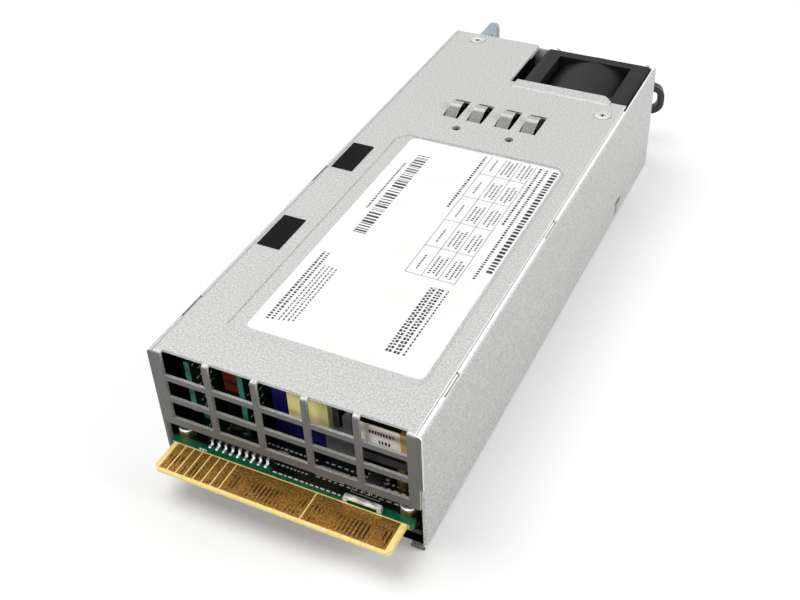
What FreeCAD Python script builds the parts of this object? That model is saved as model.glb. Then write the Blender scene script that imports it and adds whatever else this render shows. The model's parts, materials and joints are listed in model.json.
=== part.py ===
"""Hot swap server power supply: a parametric FreeCAD document with one object per separate piece.

Frame: +X across the case, +Y from the connector end to the panel end, +Z up.
The origin is the centre of the case's underside. Lengths are millimetres, angles are degrees.
"""
import FreeCAD, Part
import os
import re
import Sketcher
from FreeCAD import Rotation, Vector

# ---------------------------------------------------------------- driving dimensions

DIMENSIONS = {
    # folded steel case
    "case_width": 73.5,
    "case_height": 39,
    "case_length": 185,
    "steel": 0.8,
    "bend_radius": 1,
    "edge_lip": 1.35,
    "seam": 0.15,
    # grille bent down from the cover over the connector end
    "grille_bottom": 14.5,
    "window_width": 11.9,
    "window_pitch": 13.55,
    "window_height": 5.7,
    "window_rise": 7.3,
    "lowest_window": 17,
    # label recess and film
    "recess_left": -24,
    "recess_right": 30.5,
    "recess_start": 13.4,
    "recess_end": 114,
    "recess_depth": 0.5,
    "recess_corner": 3,
    "label_left": -19.6,
    "label_right": 29.2,
    "label_start": 17,
    "label_end": 113.2,
    "film": 0.1,
    # fan
    "fan_size": 38,
    "fan_depth": 28,
    "fan_across": 16.9,
    "fan_height": 19.85,
    "fan_gap": 0.05,
    "flange_depth": 3.6,
    "post_size": 6.5,
    "duct_radius": 18,
    "duct_wall": 0.95,
    "hub_radius": 9.6,
    "blade_tip": 17.5,
    "screw_spacing": 32,
    "shaft_radius": 1.5,
    "wire_radius": 0.6,
    # appliance inlet
    "inlet_across": -18.2,
    "inlet_width": 24.4,
    "inlet_tall": 32.6,
    "inlet_depth": 26.5,
    "socket_width": 21.2,
    "socket_tall": 29.4,
    "socket_depth": 23.3,
    "blade_thick": 2,
    "blade_wide": 8,
    "line_spacing": 13,
    "earth_offset": 8,
    # pull handle
    "handle_length": 42.4,
    "handle_height": 11.5,
    "handle_level": 16.5,
    "handle_band": 2.4,
    "handle_width": 3.5,
    "handle_angle": 21.4,
    "pivot_across": -3.2,
    "pivot_out": 4.5,
    "pivot_radius": 1,
    # latch
    "latch_root": 20,
    "latch_bottom": 12,
    "latch_top": 27,
    "latch_reach": 110,
    "catch_start": 66.5,
    "catch_peak": 73.5,
    "catch_out": 2.2,
    "tab_end": 125.5,
    "tab_bottom": 9.4,
    "tab_top": 29.4,
    "tab_thick": 2.2,
    # boards
    "board": 1.6,
    "main_level": 4,
    "card_level": 8.4,
    "tongue_width": 65.8,
    "tongue_reach": 11,
    "card_width": 68.6,
    "contact_pitch": 2.54,
    "header_pitch": 2.05,
    "contact_gap": 0.4,
    "contact_length": 8.4,
    "gold": 0.06,
    "stud_across": 31.5,
    "card_stud_front": -89.9,
    "card_stud_rear": -64,
    "board_stud_front": -79,
    "board_stud_rear": 54,
    "bore_radius": 1.3,
    "screw_radius": 1.25,
}

PANEL_END = "case_length / 2"
CONNECTOR_END = "-case_length / 2"
SIDE = "case_width / 2"
WALL = "case_width / 2 - steel"
COVER_UNDERSIDE = "case_height - steel"
FAN_INNER_END = "case_length / 2 - steel - fan_gap - fan_depth"
MAIN_TOP = "main_level + board"
CARD_TOP = "card_level + board"

doc = FreeCAD.newDocument("HotSwapPowerSupply")
sheet = doc.addObject("Spreadsheet::Sheet", "dims")
for row, (alias, number) in enumerate(DIMENSIONS.items(), start=1):
    sheet.set(f"A{row}", alias.replace("_", " "))
    sheet.set(f"B{row}", str(number))
    sheet.setAlias(f"B{row}", alias)
doc.recompute()

NODES = []

# ---------------------------------------------------------------- expressions and placements


def refer(expression):
    """Write each dimension's name in an expression as a reference to its cell in the sheet."""
    def cell(word):
        return "dims." + word[0] if word[0] in DIMENSIONS else word[0]

    return re.sub(r"[a-z_]+", cell, str(expression))


def value(expression):
    return float(sheet.evalExpression(refer(expression)))


def bind(piece, bindings):
    for name, expression in bindings.items():
        piece.setExpression(name, refer(expression))


def node(piece, label):
    """Name a finished piece and keep it for export."""
    piece.Label = label
    NODES.append(piece)
    return piece


def place(piece, x, y, z, turn=0):
    """Put a piece drawn round the origin where it belongs, turned about the upright axis."""
    piece.Placement.Rotation = Rotation(Vector(0, 0, 1), value(turn))
    bind(piece, {"Placement.Base.x": x, "Placement.Base.y": y, "Placement.Base.z": z})


# ---------------------------------------------------------------- Part primitives

TURN_FOR_AXIS = {
    "x": Rotation(Vector(0, 1, 0), 90),
    "y": Rotation(Vector(1, 0, 0), -90),
    "z": Rotation(),
}


def block(x, y, z):
    """A box between two expressions along each axis."""
    box = doc.addObject("Part::Box", "block")
    lengths = {"Length": x, "Width": y, "Height": z}
    bind(box, {name: f"({high}) - ({low})" for name, (low, high) in lengths.items()})
    bind(box, {f"Placement.Base.{axis}": low for axis, (low, high) in zip("xyz", (x, y, z))})
    return box


def rod(axis, radius, first, second, span):
    """A cylinder along an axis; first and second are its centre on the other two axes, in order."""
    cylinder = doc.addObject("Part::Cylinder", "rod")
    start, end = span
    bind(cylinder, {"Radius": radius, "Height": f"({end}) - ({start})"})
    others = [letter for letter in "xyz" if letter != axis]
    base = {others[0]: first, others[1]: second, axis: start}
    cylinder.Placement.Rotation = TURN_FOR_AXIS[axis]
    bind(cylinder, {f"Placement.Base.{letter}": base[letter] for letter in "xyz"})
    return cylinder


def cone(axis, radii, first, second, span):
    tapered = doc.addObject("Part::Cone", "cone")
    start, end = span
    bind(tapered, {"Radius1": radii[0], "Radius2": radii[1], "Height": f"({end}) - ({start})"})
    others = [letter for letter in "xyz" if letter != axis]
    base = {others[0]: first, others[1]: second, axis: start}
    tapered.Placement.Rotation = TURN_FOR_AXIS[axis]
    bind(tapered, {f"Placement.Base.{letter}": base[letter] for letter in "xyz"})
    return tapered


def prism(axis, sides, radius, first, second, span):
    """A regular prism for a small round piece, given as a rod is; radius is to its corners."""
    many_sided = doc.addObject("Part::Prism", "prism")
    many_sided.Polygon = sides
    start, end = span
    bind(many_sided, {"Circumradius": radius, "Height": f"({end}) - ({start})"})
    others = [letter for letter in "xyz" if letter != axis]
    base = {others[0]: first, others[1]: second, axis: start}
    many_sided.Placement.Rotation = TURN_FOR_AXIS[axis]
    bind(many_sided, {f"Placement.Base.{letter}": base[letter] for letter in "xyz"})
    return many_sided


def tube(axis, sides, radii, first, second, span):
    """A ring or tube of many flat sides, between an outer and an inner radius."""
    outside, inside = (prism(axis, sides, radius, first, second, span) for radius in radii)
    return cut(outside, [inside])


def fused(pieces):
    union = doc.addObject("Part::MultiFuse", "fused")
    union.Shapes = pieces
    return union


def cut(base, tools):
    result = doc.addObject("Part::Cut", "cut")
    result.Base = base
    result.Tool = tools[0] if len(tools) == 1 else fused(tools)
    return result


def group(pieces):
    """Separate solids that share one node."""
    together = doc.addObject("Part::Compound", "group")
    together.Links = pieces
    return together


# ---------------------------------------------------------------- PartDesign helpers


def new_body(label):
    body = doc.addObject("PartDesign::Body", label)
    return node(body, label)


def rectangle(x, y):
    return [(x[0], y[0]), (x[1], y[0]), (x[1], y[1]), (x[0], y[1])]


def disc(x, y, radius):
    return (x, y, radius)


def polygon(x, y, radius, sides=8):
    """A regular outline with one corner towards the first axis; radius is to its corners."""
    turns = [index * 360 / sides for index in range(sides)]
    return [(f"{x} + ({radius}) * cos({turn})", f"{y} + ({radius}) * sin({turn})") for turn in turns]


def mirrored(points):
    """A closed outline from its right half, which is listed from the bottom round to the top."""
    return points + [(f"-({x})", y) for x, y in reversed(points)]


def fix(sketch, geometry, end, x, y):
    for kind, expression in (("DistanceX", x), ("DistanceY", y)):
        constraint = Sketcher.Constraint(kind, -1, 1, geometry, end, value(expression))
        index = sketch.addConstraint(constraint)
        sketch.setExpression(f"Constraints[{index}]", refer(expression))


def draw_outline(sketch, points):
    corners = [Vector(value(x), value(y), 0) for x, y in points]
    following = corners[1:] + corners[:1]
    lines = sketch.addGeometry([Part.LineSegment(a, b) for a, b in zip(corners, following)])
    for line, next_line in zip(lines, lines[1:] + lines[:1]):
        sketch.addConstraint(Sketcher.Constraint("Coincident", line, 2, next_line, 1))
    for line, (x, y) in zip(lines, points):
        fix(sketch, line, 1, x, y)


def draw_disc(sketch, x, y, radius):
    circle = Part.Circle(Vector(value(x), value(y), 0), Vector(0, 0, 1), value(radius))
    geometry = sketch.addGeometry(circle)
    fix(sketch, geometry, 3, x, y)
    index = sketch.addConstraint(Sketcher.Constraint("Radius", geometry, value(radius)))
    sketch.setExpression(f"Constraints[{index}]", refer(radius))


def new_sketch(body, plane, offset, shapes):
    """A sketch on one of the body's own origin planes; XZ sketches are offset along +Y."""
    sketch = body.newObject("Sketcher::SketchObject", "sketch")
    role = plane + "_Plane"
    origin_plane = next(item for item in body.Origin.OriginFeatures if item.Role == role)
    sketch.AttachmentSupport = (origin_plane, [""])
    sketch.MapMode = "FlatFace"
    sign = "-1" if plane == "XZ" else "1"
    bind(sketch, {"AttachmentOffset.Base.z": f"{sign} * ({offset})"})
    for shape in shapes:
        if isinstance(shape, tuple):
            draw_disc(sketch, *shape)
        else:
            draw_outline(sketch, shape)
    return sketch


def extrude(kind, body, plane, span, shapes):
    """Pad or pocket between two levels along the plane's normal."""
    low, high = span
    sketch = new_sketch(body, plane, f"(({low}) + ({high})) / 2", shapes)
    feature = body.newObject("PartDesign::" + kind, kind.lower())
    feature.Profile = sketch
    feature.Midplane = True
    bind(feature, {"Length": f"({high}) - ({low})"})
    body.Tip = feature
    return feature


def pad(body, plane, span, *shapes):
    return extrude("Pad", body, plane, span, shapes)


def pocket(body, plane, span, *shapes):
    """Cut between two levels, and make sure that the cut met the solid."""
    doc.recompute()
    before = body.Shape.Volume
    feature = extrude("Pocket", body, plane, span, shapes)
    doc.recompute()
    if not body.Shape.Volume < before:
        raise ValueError(f"a pocket in {body.Label} removed nothing")
    return feature


def dress(kind, body, size, chosen):
    """Fillet or chamfer the edges of the body that a test picks."""
    doc.recompute()
    base = body.Tip
    names = [f"Edge{index}" for index, edge in enumerate(base.Shape.Edges, start=1) if chosen(edge)]
    if not names:
        raise ValueError(f"no edge found to dress in {body.Label}")
    feature = body.newObject("PartDesign::" + kind, kind.lower())
    feature.Base = (base, names)
    bind(feature, {"Radius" if kind == "Fillet" else "Size": size})
    body.Tip = feature
    return feature


def straight_edge(axis, **place_of_edge):
    """A test for straight edges along an axis that pass through the given places."""
    directions = {"x": Vector(1, 0, 0), "y": Vector(0, 1, 0), "z": Vector(0, 0, 1)}
    wanted = {letter: [value(item) for item in places] for letter, places in place_of_edge.items()}

    def test(edge):
        if edge.Curve.TypeId != "Part::GeomLine":
            return False
        if abs(edge.Curve.Direction.dot(directions[axis])) < 0.999:
            return False
        centre = edge.CenterOfMass
        return all(min(abs(getattr(centre, letter) - item) for item in places) < 0.02
                   for letter, places in wanted.items())

    return test


def round_edge(axis, level, radius):
    """A test for circular edges of one radius at one level along an axis."""
    radius = value(radius)
    level = value(level)

    def test(edge):
        if edge.Curve.TypeId != "Part::GeomCircle":
            return False
        return abs(edge.Curve.Radius - radius) < 0.01 and abs(getattr(edge.CenterOfMass, axis) - level) < 0.02

    return test


def repeat_round(body, feature, count):
    """Repeat a feature round the body's own Y axis."""
    doc.recompute()
    pattern = body.newObject("PartDesign::PolarPattern", "round_pattern")
    pattern.Originals = [feature]
    y_axis = next(item for item in body.Origin.OriginFeatures if item.Role == "Y_Axis")
    pattern.Axis = (y_axis, [""])
    pattern.Angle = 360
    pattern.Occurrences = count
    body.Tip = pattern
    doc.recompute()
    return pattern


# ---------------------------------------------------------------- case

COVER_SCREWS = [("-26.5", f"{CONNECTOR_END} + 180.9"), ("30.1", f"{CONNECTOR_END} + 147.9")]
HOOK_PLACES = [("13.8", "22.6"), ("79.7", "88.5")]
BOARD_STUDS = [(side, along) for side in ("-stud_across", "stud_across")
               for along in ("board_stud_front", "-12", "board_stud_rear")]
CARD_STUDS = [(side, along) for side in ("-stud_across", "stud_across")
              for along in ("card_stud_front", "card_stud_rear")]
PANEL_SCREWS = [("-27", "88"), ("-12", "88")]
LATCH_RIVETS = ["11", "17"]
RIVET_LEVEL = "(latch_bottom + latch_top) / 2"


def make_chassis():
    """Tray folded from one sheet: floor, side walls and narrow turned-in top edges."""
    body = new_body("chassis")
    half = [
        (SIDE, "0"),
        (SIDE, "case_height"),
        (f"{SIDE} - edge_lip", "case_height"),
        (f"{SIDE} - edge_lip", COVER_UNDERSIDE),
        (WALL, COVER_UNDERSIDE),
        (WALL, "steel"),
    ]
    pad(body, "XZ", (CONNECTOR_END, PANEL_END), mirrored(half))
    corners = straight_edge("y", x=[SIDE, f"-{SIDE}"], z=["0", "case_height"])
    dress("Fillet", body, "bend_radius", corners)
    # the lug that takes the cover's rear right screw
    lug_levels = (f"{COVER_UNDERSIDE} - 0.9", f"{COVER_UNDERSIDE} - 0.1")
    pad(body, "XY", lug_levels, rectangle(("26", WALL), ("50.4", "60.4")))
    pocket(body, "XY", ("30", "case_height - 0.1"), disc(*COVER_SCREWS[1], "1.45"))
    # slots in the turned-in edges for the cover's hooks
    slots = []
    for start, end in HOOK_PLACES:
        along = (f"{CONNECTOR_END} + {start}", f"{CONNECTOR_END} + {end}")
        slots.append(rectangle((f"{SIDE} - edge_lip - 1", f"{SIDE} - 0.45"), along))
        slots.append(rectangle((f"-{SIDE} + 0.45", f"-{SIDE} + edge_lip + 1"), along))
    pocket(body, "XY", (COVER_UNDERSIDE, "case_height + 1"), *slots)
    # beside the fan the right wall has no turned-in edge
    beside_fan = rectangle((f"{SIDE} - edge_lip - 1", WALL), (f"{CONNECTOR_END} + 152.4", f"{PANEL_END} + 1"))
    pocket(body, "XY", (COVER_UNDERSIDE, "case_height + 1"), beside_fan)
    # floor cut back under the card, with swept corners, and a small step in the right wall's front edge
    front = rectangle((f"-{SIDE} + 4", f"{SIDE} - 4"), (f"{CONNECTOR_END} - 1", f"{CONNECTOR_END} + 6"))
    pocket(body, "XY", ("-1", "steel + 0.5"), front)
    swept = straight_edge("z", x=[f"-{SIDE} + 4", f"{SIDE} - 4"], y=[f"{CONNECTOR_END} + 6"])
    dress("Fillet", body, "4", swept)
    step = rectangle((f"{CONNECTOR_END} - 1", f"{CONNECTOR_END} + 0.7"), ("1.5", "21.5"))
    pocket(body, "YZ", (f"{WALL} - 0.1", f"{SIDE} + 1"), step)
    # two slits in the right wall, with the strap between them pushed out
    slit_along = (f"{CONNECTOR_END} + 147.4", f"{CONNECTOR_END} + 153.4")
    slits = [rectangle(slit_along, ("2.6", "3.5")), rectangle(slit_along, ("6.1", "7"))]
    pocket(body, "YZ", (f"{WALL} - 0.1", f"{SIDE} + 1"), *slits)
    strap_along = (f"{CONNECTOR_END} + 148.4", f"{CONNECTOR_END} + 152.4")
    pad(body, "YZ", (SIDE, f"{SIDE} + 0.5"), rectangle(strap_along, ("3.5", "6.1")))
    # window for the catch and rivet holes in the left wall
    window = rectangle(("catch_start - 1.5", "catch_peak + 2.5"), ("13.2", "25.8"))
    rivets = [polygon(along, RIVET_LEVEL, "1.2") for along in LATCH_RIVETS]
    pocket(body, "YZ", (f"-{SIDE} - 1", f"-{SIDE} + steel + 0.1"), window, *rivets)
    # floor holes for the pressed-in board studs and the panel's two screws
    studs = [polygon(x, y, "2.4", 6) for x, y in BOARD_STUDS]
    panel_screws = [disc(x, y, "1.6") for x, y in PANEL_SCREWS]
    pocket(body, "XY", ("-1", "steel + 0.3"), *studs, *panel_screws)
    dress("Chamfer", body, "0.7", round_edge("z", "0", "1.6"))


def fan_screw_places(across="fan_across", up="fan_height"):
    """Centres of the fan's four screws round a middle."""
    half = "screw_spacing / 2"
    return [(f"{across} + {side} * {half}", f"{up} + {level} * {half}")
            for side in (-1, 1) for level in (-1, 1)]


def make_end_panel():
    """Panel at the plug end, with flanges turned in along the floor and under the cover."""
    body = new_body("end_panel")
    plate_span = (f"{PANEL_END} - steel", PANEL_END)
    across = (f"-({WALL} - 0.1)", f"{WALL} - 0.1")
    bottom = "steel + fan_gap"
    top = f"{COVER_UNDERSIDE} - 0.1"
    pad(body, "XZ", plate_span, rectangle(across, (bottom, top)))
    flange_span = (f"{PANEL_END} - 8", f"{PANEL_END} - steel")
    pad(body, "XZ", flange_span, rectangle(("-34", "-5"), (bottom, f"{bottom} + steel")))
    pad(body, "XZ", flange_span, rectangle(("-34", "-5"), (f"{top} - steel", top)))
    inlet_across = ("inlet_across - inlet_width / 2", "inlet_across + inlet_width / 2")
    inlet_up = ("fan_height - inlet_tall / 2", "fan_height + inlet_tall / 2")
    latch_slot = rectangle((f"-{SIDE}", "-31.6"), ("latch_bottom - 3", "latch_top + 3"))
    fan_opening = disc("fan_across", "fan_height", "duct_radius - 0.8")
    screws = [polygon(x, z, "1.75") for x, z in fan_screw_places()]
    bracket_rivets = [polygon("pivot_across", f"handle_level {offset}", "1") for offset in ("- 8.7", "+ 8.7")]
    lamp = disc("-33", "34.6", "1.3")
    through = (f"{PANEL_END} - 2", f"{PANEL_END} + 1")
    pocket(body, "XZ", through, rectangle(inlet_across, inlet_up), latch_slot, fan_opening)
    pocket(body, "XZ", through, lamp, *screws, *bracket_rivets)
    floor_holes = [polygon(x, y, "1.45") for x, y in PANEL_SCREWS]
    pocket(body, "XY", ("0", "3"), *floor_holes)
    pocket(body, "XY", ("30", "case_height"), disc(*COVER_SCREWS[0], "1.45"))


def recess_outline(grow):
    left = f"recess_left - {grow}"
    right = f"recess_right + {grow}"
    start = f"{CONNECTOR_END} + recess_start - {grow}"
    end = f"{CONNECTOR_END} + recess_end + {grow}"
    corner = "recess_corner"
    return [
        (f"{left} + {corner}", start), (f"{right} - {corner}", start),
        (right, f"{start} + {corner}"), (right, f"{end} - {corner}"),
        (f"{right} - {corner}", end), (f"{left} + {corner}", end),
        (left, f"{end} - {corner}"), (left, f"{start} + {corner}"),
    ]


SPRING_WINDOWS = [("-16.5", "-11.2"), ("-8.4", "-3"), ("1", "6.5"), ("9.3", "14.8")]
SPRING_ALONG = (f"{CONNECTOR_END} + 128.2", f"{CONNECTOR_END} + 139.5")
SPRING_HOLES = [("-9.2", f"{CONNECTOR_END} + 122.9"), ("8.4", f"{CONNECTOR_END} + 122.8")]


def make_top_cover():
    """Cover plate whose front end is bent down into a grille of five by three windows."""
    body = new_body("top_cover")
    edge = f"{SIDE} - edge_lip - seam"
    fan_left = "fan_across - fan_size / 2 - 0.2"
    fan_start = f"{FAN_INNER_END} - 0.15"
    plate = [
        (f"-({edge})", CONNECTOR_END), (edge, CONNECTOR_END), (edge, fan_start), (fan_left, fan_start),
        (fan_left, f"{fan_start} + 1.5"), ("-4.9", f"{fan_start} + 1.5"),
        ("-4.9", PANEL_END), (f"-({edge})", PANEL_END),
    ]
    pad(body, "XY", (COVER_UNDERSIDE, "case_height"), plate)
    # grille plate, a little wider below the turned-in edges of the side walls
    grille = [
        (f"{WALL} - 0.1", "grille_bottom"), (f"{WALL} - 0.1", f"{COVER_UNDERSIDE} - 0.1"),
        (edge, f"{COVER_UNDERSIDE} - 0.1"), (edge, "case_height"),
    ]
    pad(body, "XZ", (CONNECTOR_END, f"{CONNECTOR_END} + steel"), mirrored(grille))
    dress("Fillet", body, "bend_radius", straight_edge("x", y=[CONNECTOR_END], z=["case_height"]))
    windows = []
    for column in range(-2, 3):
        middle = f"{column} * window_pitch"
        across = (f"{middle} - window_width / 2", f"{middle} + window_width / 2")
        for row in range(2):
            bottom = f"lowest_window + {row} * window_rise"
            windows.append(rectangle(across, (bottom, f"{bottom} + window_height")))
        windows.append(rectangle(across, ("lowest_window + 2 * window_rise", "case_height + 1")))
    pocket(body, "XZ", (f"{CONNECTOR_END} - 1", f"{CONNECTOR_END} + 1.5"), *windows)
    # label recess pressed down by half a millimetre
    pad(body, "XY", (f"{COVER_UNDERSIDE} - recess_depth", COVER_UNDERSIDE), recess_outline(0.6))
    pocket(body, "XY", ("case_height - recess_depth", "case_height + 1"), recess_outline(0))
    # windows for the spring fingers, their two locating holes and the screw holes
    fingers = [rectangle(across, SPRING_ALONG) for across in SPRING_WINDOWS]
    holes = [polygon(x, y, "1.4", 12) for x, y in SPRING_HOLES]
    screws = [disc(x, y, "2.2") for x, y in COVER_SCREWS]
    pocket(body, "XY", (f"{COVER_UNDERSIDE} - 0.2", "case_height + 1"), *fingers, *holes, *screws)
    dress("Chamfer", body, "0.75", round_edge("z", "case_height", "2.2"))
    # raised lip that holds the fan down, with its front end cut at 45 degrees
    lip_start = f"{CONNECTOR_END} + 153.6"
    lip_end = f"{CONNECTOR_END} + 158.5"
    lip = [
        ("-2.7", lip_start), ("30.1", lip_start), ("30.1", f"{lip_end} - 2.6"),
        ("27.5", lip_end), ("-2.7", lip_end),
    ]
    pad(body, "XY", ("case_height - 0.1", "case_height + 0.6"), lip)
    dress("Chamfer", body, "0.5", straight_edge("x", y=[lip_start], z=["case_height + 0.6"]))
    # hooks that drop into the slots of the side walls
    hook_levels = (f"{COVER_UNDERSIDE} - 0.35", "case_height - 0.35")
    for start, end in HOOK_PLACES:
        along = (f"{CONNECTOR_END} + {start} + 0.4", f"{CONNECTOR_END} + {end} - 0.4")
        pad(body, "XY", hook_levels, rectangle((f"{edge} - 0.5", f"{WALL} - 0.1"), along))
        pad(body, "XY", hook_levels, rectangle((f"-({WALL} - 0.1)", f"-({edge} - 0.5)"), along))


def flathead_screw(x, y, outside, upward, length):
    """Countersunk cross-recess screw whose head lies flush; upward is 1 on the cover, -1 on the floor."""
    head_from = f"{outside} - {upward} * 0.83"
    radii = ("2.1", "2.85") if upward > 0 else ("2.2", "1.4")
    head_span = sorted([head_from, f"{outside} - {upward} * 0.05"], key=value)
    shank_span = sorted([head_from, f"{outside} - {upward} * {length}"], key=value)
    recess_span = sorted([f"{outside} - {upward} * 0.5", f"{outside} + {upward}"], key=value)
    recesses = [
        block((f"{x} - 1.3", f"{x} + 1.3"), (f"{y} - 0.3", f"{y} + 0.3"), recess_span),
        block((f"{x} - 0.3", f"{x} + 0.3"), (f"{y} - 1.3", f"{y} + 1.3"), recess_span),
    ]
    return cut(fused([cone("z", radii, x, y, head_span), prism("z", 8, "1.4", x, y, shank_span)]), recesses)


def make_flathead_screws():
    screws = [flathead_screw(x, y, "case_height", 1, 2.7) for x, y in COVER_SCREWS]
    screws += [flathead_screw(x, y, "0", -1, 2.2) for x, y in PANEL_SCREWS]
    node(group(screws), "flathead_screws")


def make_label_and_pads():
    label = new_body("rating_label")
    bottom = "case_height - recess_depth"
    along = (f"{CONNECTOR_END} + label_start", f"{CONNECTOR_END} + label_end")
    pad(label, "XY", (bottom, f"{bottom} + film"), rectangle(("label_left", "label_right"), along))
    dress("Fillet", label, "2", straight_edge("z"))
    pads = []
    for start, end in (("46.9", "61.5"), ("88.5", "102.9")):
        along = (f"{CONNECTOR_END} + {start}", f"{CONNECTOR_END} + {end}")
        pads.append(block(("-34.5", "-27.6"), along, ("case_height", "case_height + 0.2")))
    node(group(pads), "cover_pads")


def make_ground_spring(label, windows, hole):
    """Clip of two arched fingers that stand up through the cover."""
    body = new_body(label)
    sheet_thick = "0.25"
    left = f"{windows[0][0]} - 1.4"
    right = f"{windows[1][1]} + 1.4"
    base_end = f"{SPRING_ALONG[0]} - 0.3"
    level = (f"{COVER_UNDERSIDE} - {sheet_thick}", COVER_UNDERSIDE)
    pad(body, "XY", level, rectangle((left, right), (f"{base_end} - 9", base_end)))
    pocket(body, "XY", ("30", "case_height"), polygon(*hole, "0.9"))
    # the arch, from the base up its ramp, over the crest and down at the far end
    arch = [("-0.4", "0"), ("1", "0"), ("6.6", "2.3"), ("8.4", "2.3"), ("9.2", "0.1")]
    upper = [(f"{base_end} + {along}", f"{COVER_UNDERSIDE} + {rise}") for along, rise in arch]
    lower = [(x, f"{z} - {sheet_thick}") for x, z in upper]
    for low, high in windows:
        pad(body, "YZ", (f"{low} + 0.4", f"{high} - 1.1"), upper + lower[::-1])


# ---------------------------------------------------------------- fan


def place_on_fan(piece):
    place(piece, "fan_across", FAN_INNER_END, "fan_height")


def make_fan_frame():
    """Square frame: two flanges joined by corner posts and a round duct, and the motor on four struts."""
    body = new_body("fan_frame")
    square = rectangle(("-fan_size / 2", "fan_size / 2"), ("-fan_size / 2", "fan_size / 2"))
    pad(body, "XZ", ("0", "flange_depth"), square)
    pad(body, "XZ", ("flange_depth", "fan_depth - flange_depth"), disc("0", "0", "duct_radius + duct_wall"))
    pad(body, "XZ", ("fan_depth - flange_depth", "fan_depth"), square)
    for side in (-1, 1):
        for level in (-1, 1):
            across = sorted([f"{side} * (fan_size / 2 - post_size)", f"{side} * fan_size / 2"], key=value)
            up = sorted([f"{level} * (fan_size / 2 - post_size)", f"{level} * fan_size / 2"], key=value)
            pad(body, "XZ", ("flange_depth", "fan_depth - flange_depth"), rectangle(across, up))
    corners = "fan_size / 2"
    edges = straight_edge("y", x=[corners, f"-{corners}"], z=[corners, f"-{corners}"])
    dress("Fillet", body, "2.5", edges)
    pocket(body, "XZ", ("-1", "fan_depth + 1"), disc("0", "0", "duct_radius"))
    holes = [polygon(x, z, "1.7") for x, z in fan_screw_places("0", "0")]
    pocket(body, "XZ", ("-1", "fan_depth + 1"), *holes)
    strut_span = ("fan_depth - 2.6", "fan_depth - 0.2")
    strut = pad(body, "XZ", strut_span, rectangle(("-1", "duct_radius + 0.5"), ("-1", "1")))
    repeat_round(body, strut, 4)
    pad(body, "XZ", ("fan_depth - 3.4", "fan_depth - 0.2"), disc("0", "0", "hub_radius - 0.2"))
    pad(body, "XZ", ("6", "fan_depth - 3.4"), polygon("0", "0", "4", 16))
    pocket(body, "XZ", ("5", "fan_depth - 1"), polygon("0", "0", "3", 16))
    place_on_fan(body)


def blade_section(chord, pitch):
    """Corners of a flat blade section, turned by its pitch away from the axis."""
    corners = []
    for along, aside in ((-1, -1), (1, -1), (1, 1), (-1, 1)):
        length = f"{along} * {chord} / 2"
        half_thick = f"{aside} * 0.45"
        corners.append((f"11.5 + {length} * cos({pitch}) - {half_thick} * sin({pitch})",
                        f"{length} * sin({pitch}) + {half_thick} * cos({pitch})"))
    return corners


def make_fan_rotor():
    """Hub cup with five twisted blades, each a loft from its root section to its tip section."""
    body = new_body("fan_rotor")
    pad(body, "XZ", ("3", "21"), disc("0", "0", "hub_radius"))
    root = new_sketch(body, "YZ", "hub_radius - 2.2", [blade_section("15", "44")])
    tip = new_sketch(body, "YZ", "blade_tip + 1", [blade_section("17", "51")])
    blade = body.newObject("PartDesign::AdditiveLoft", "blade")
    blade.Profile = root
    blade.Sections = [tip]
    blade.Ruled = True
    body.Tip = blade
    repeat_round(body, blade, 5)
    outside = [disc("0", "0", "blade_tip"), disc("0", "0", "blade_tip + 12")]
    pocket(body, "XZ", ("-2", "fan_depth"), *outside)
    pocket(body, "XZ", ("4.2", "30"), polygon("0", "0", "hub_radius - 0.8", 32))
    pocket(body, "XZ", ("0", "10"), polygon("0", "0", "shaft_radius", 16))
    place_on_fan(body)


def make_fan_motor():
    """Shaft and magnet that turn with the hub; bearings, laminations and coils that stay."""
    shaft_span = (f"{FAN_INNER_END} + 3", f"{FAN_INNER_END} + fan_depth - 2")
    node(prism("y", 16, "shaft_radius", "fan_across", "fan_height", shaft_span), "fan_shaft")
    node(tube("y", 32, ("hub_radius - 0.8", "hub_radius - 1.9"), "0", "0", ("9", "19")), "fan_magnet")
    bearings = []
    for start in ("7", "fan_depth - 7"):
        span = (start, f"{start} + 2.5")
        bearings.append(tube("y", 16, ("2.98", "shaft_radius + 0.05"), "0", "0", span))
    node(group(bearings), "fan_bearings")
    wide = ("-2", "2")
    narrow = ("-1.1", "1.1")
    reach = ("-7.4", "7.4")
    stack = ("11", "17")
    arms = [block(reach, stack, narrow), block(narrow, stack, reach)]
    laminations = cut(fused([prism("y", 16, "5.2", "0", "0", stack), *arms]),
                      [prism("y", 16, "4.05", "0", "0", ("8", "20"))])
    stator = [laminations]
    for side in (-1, 1):
        radial = sorted([f"{side} * 5.3", f"{side} * 7.2"], key=value)
        stator.append(cut(block(radial, ("10", "18"), wide), [block(radial, stack, narrow)]))
        stator.append(cut(block(wide, ("10", "18"), radial), [block(narrow, stack, radial)]))
    node(group(stator), "fan_stator")
    for piece in NODES[-3:]:
        place_on_fan(piece)


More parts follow.
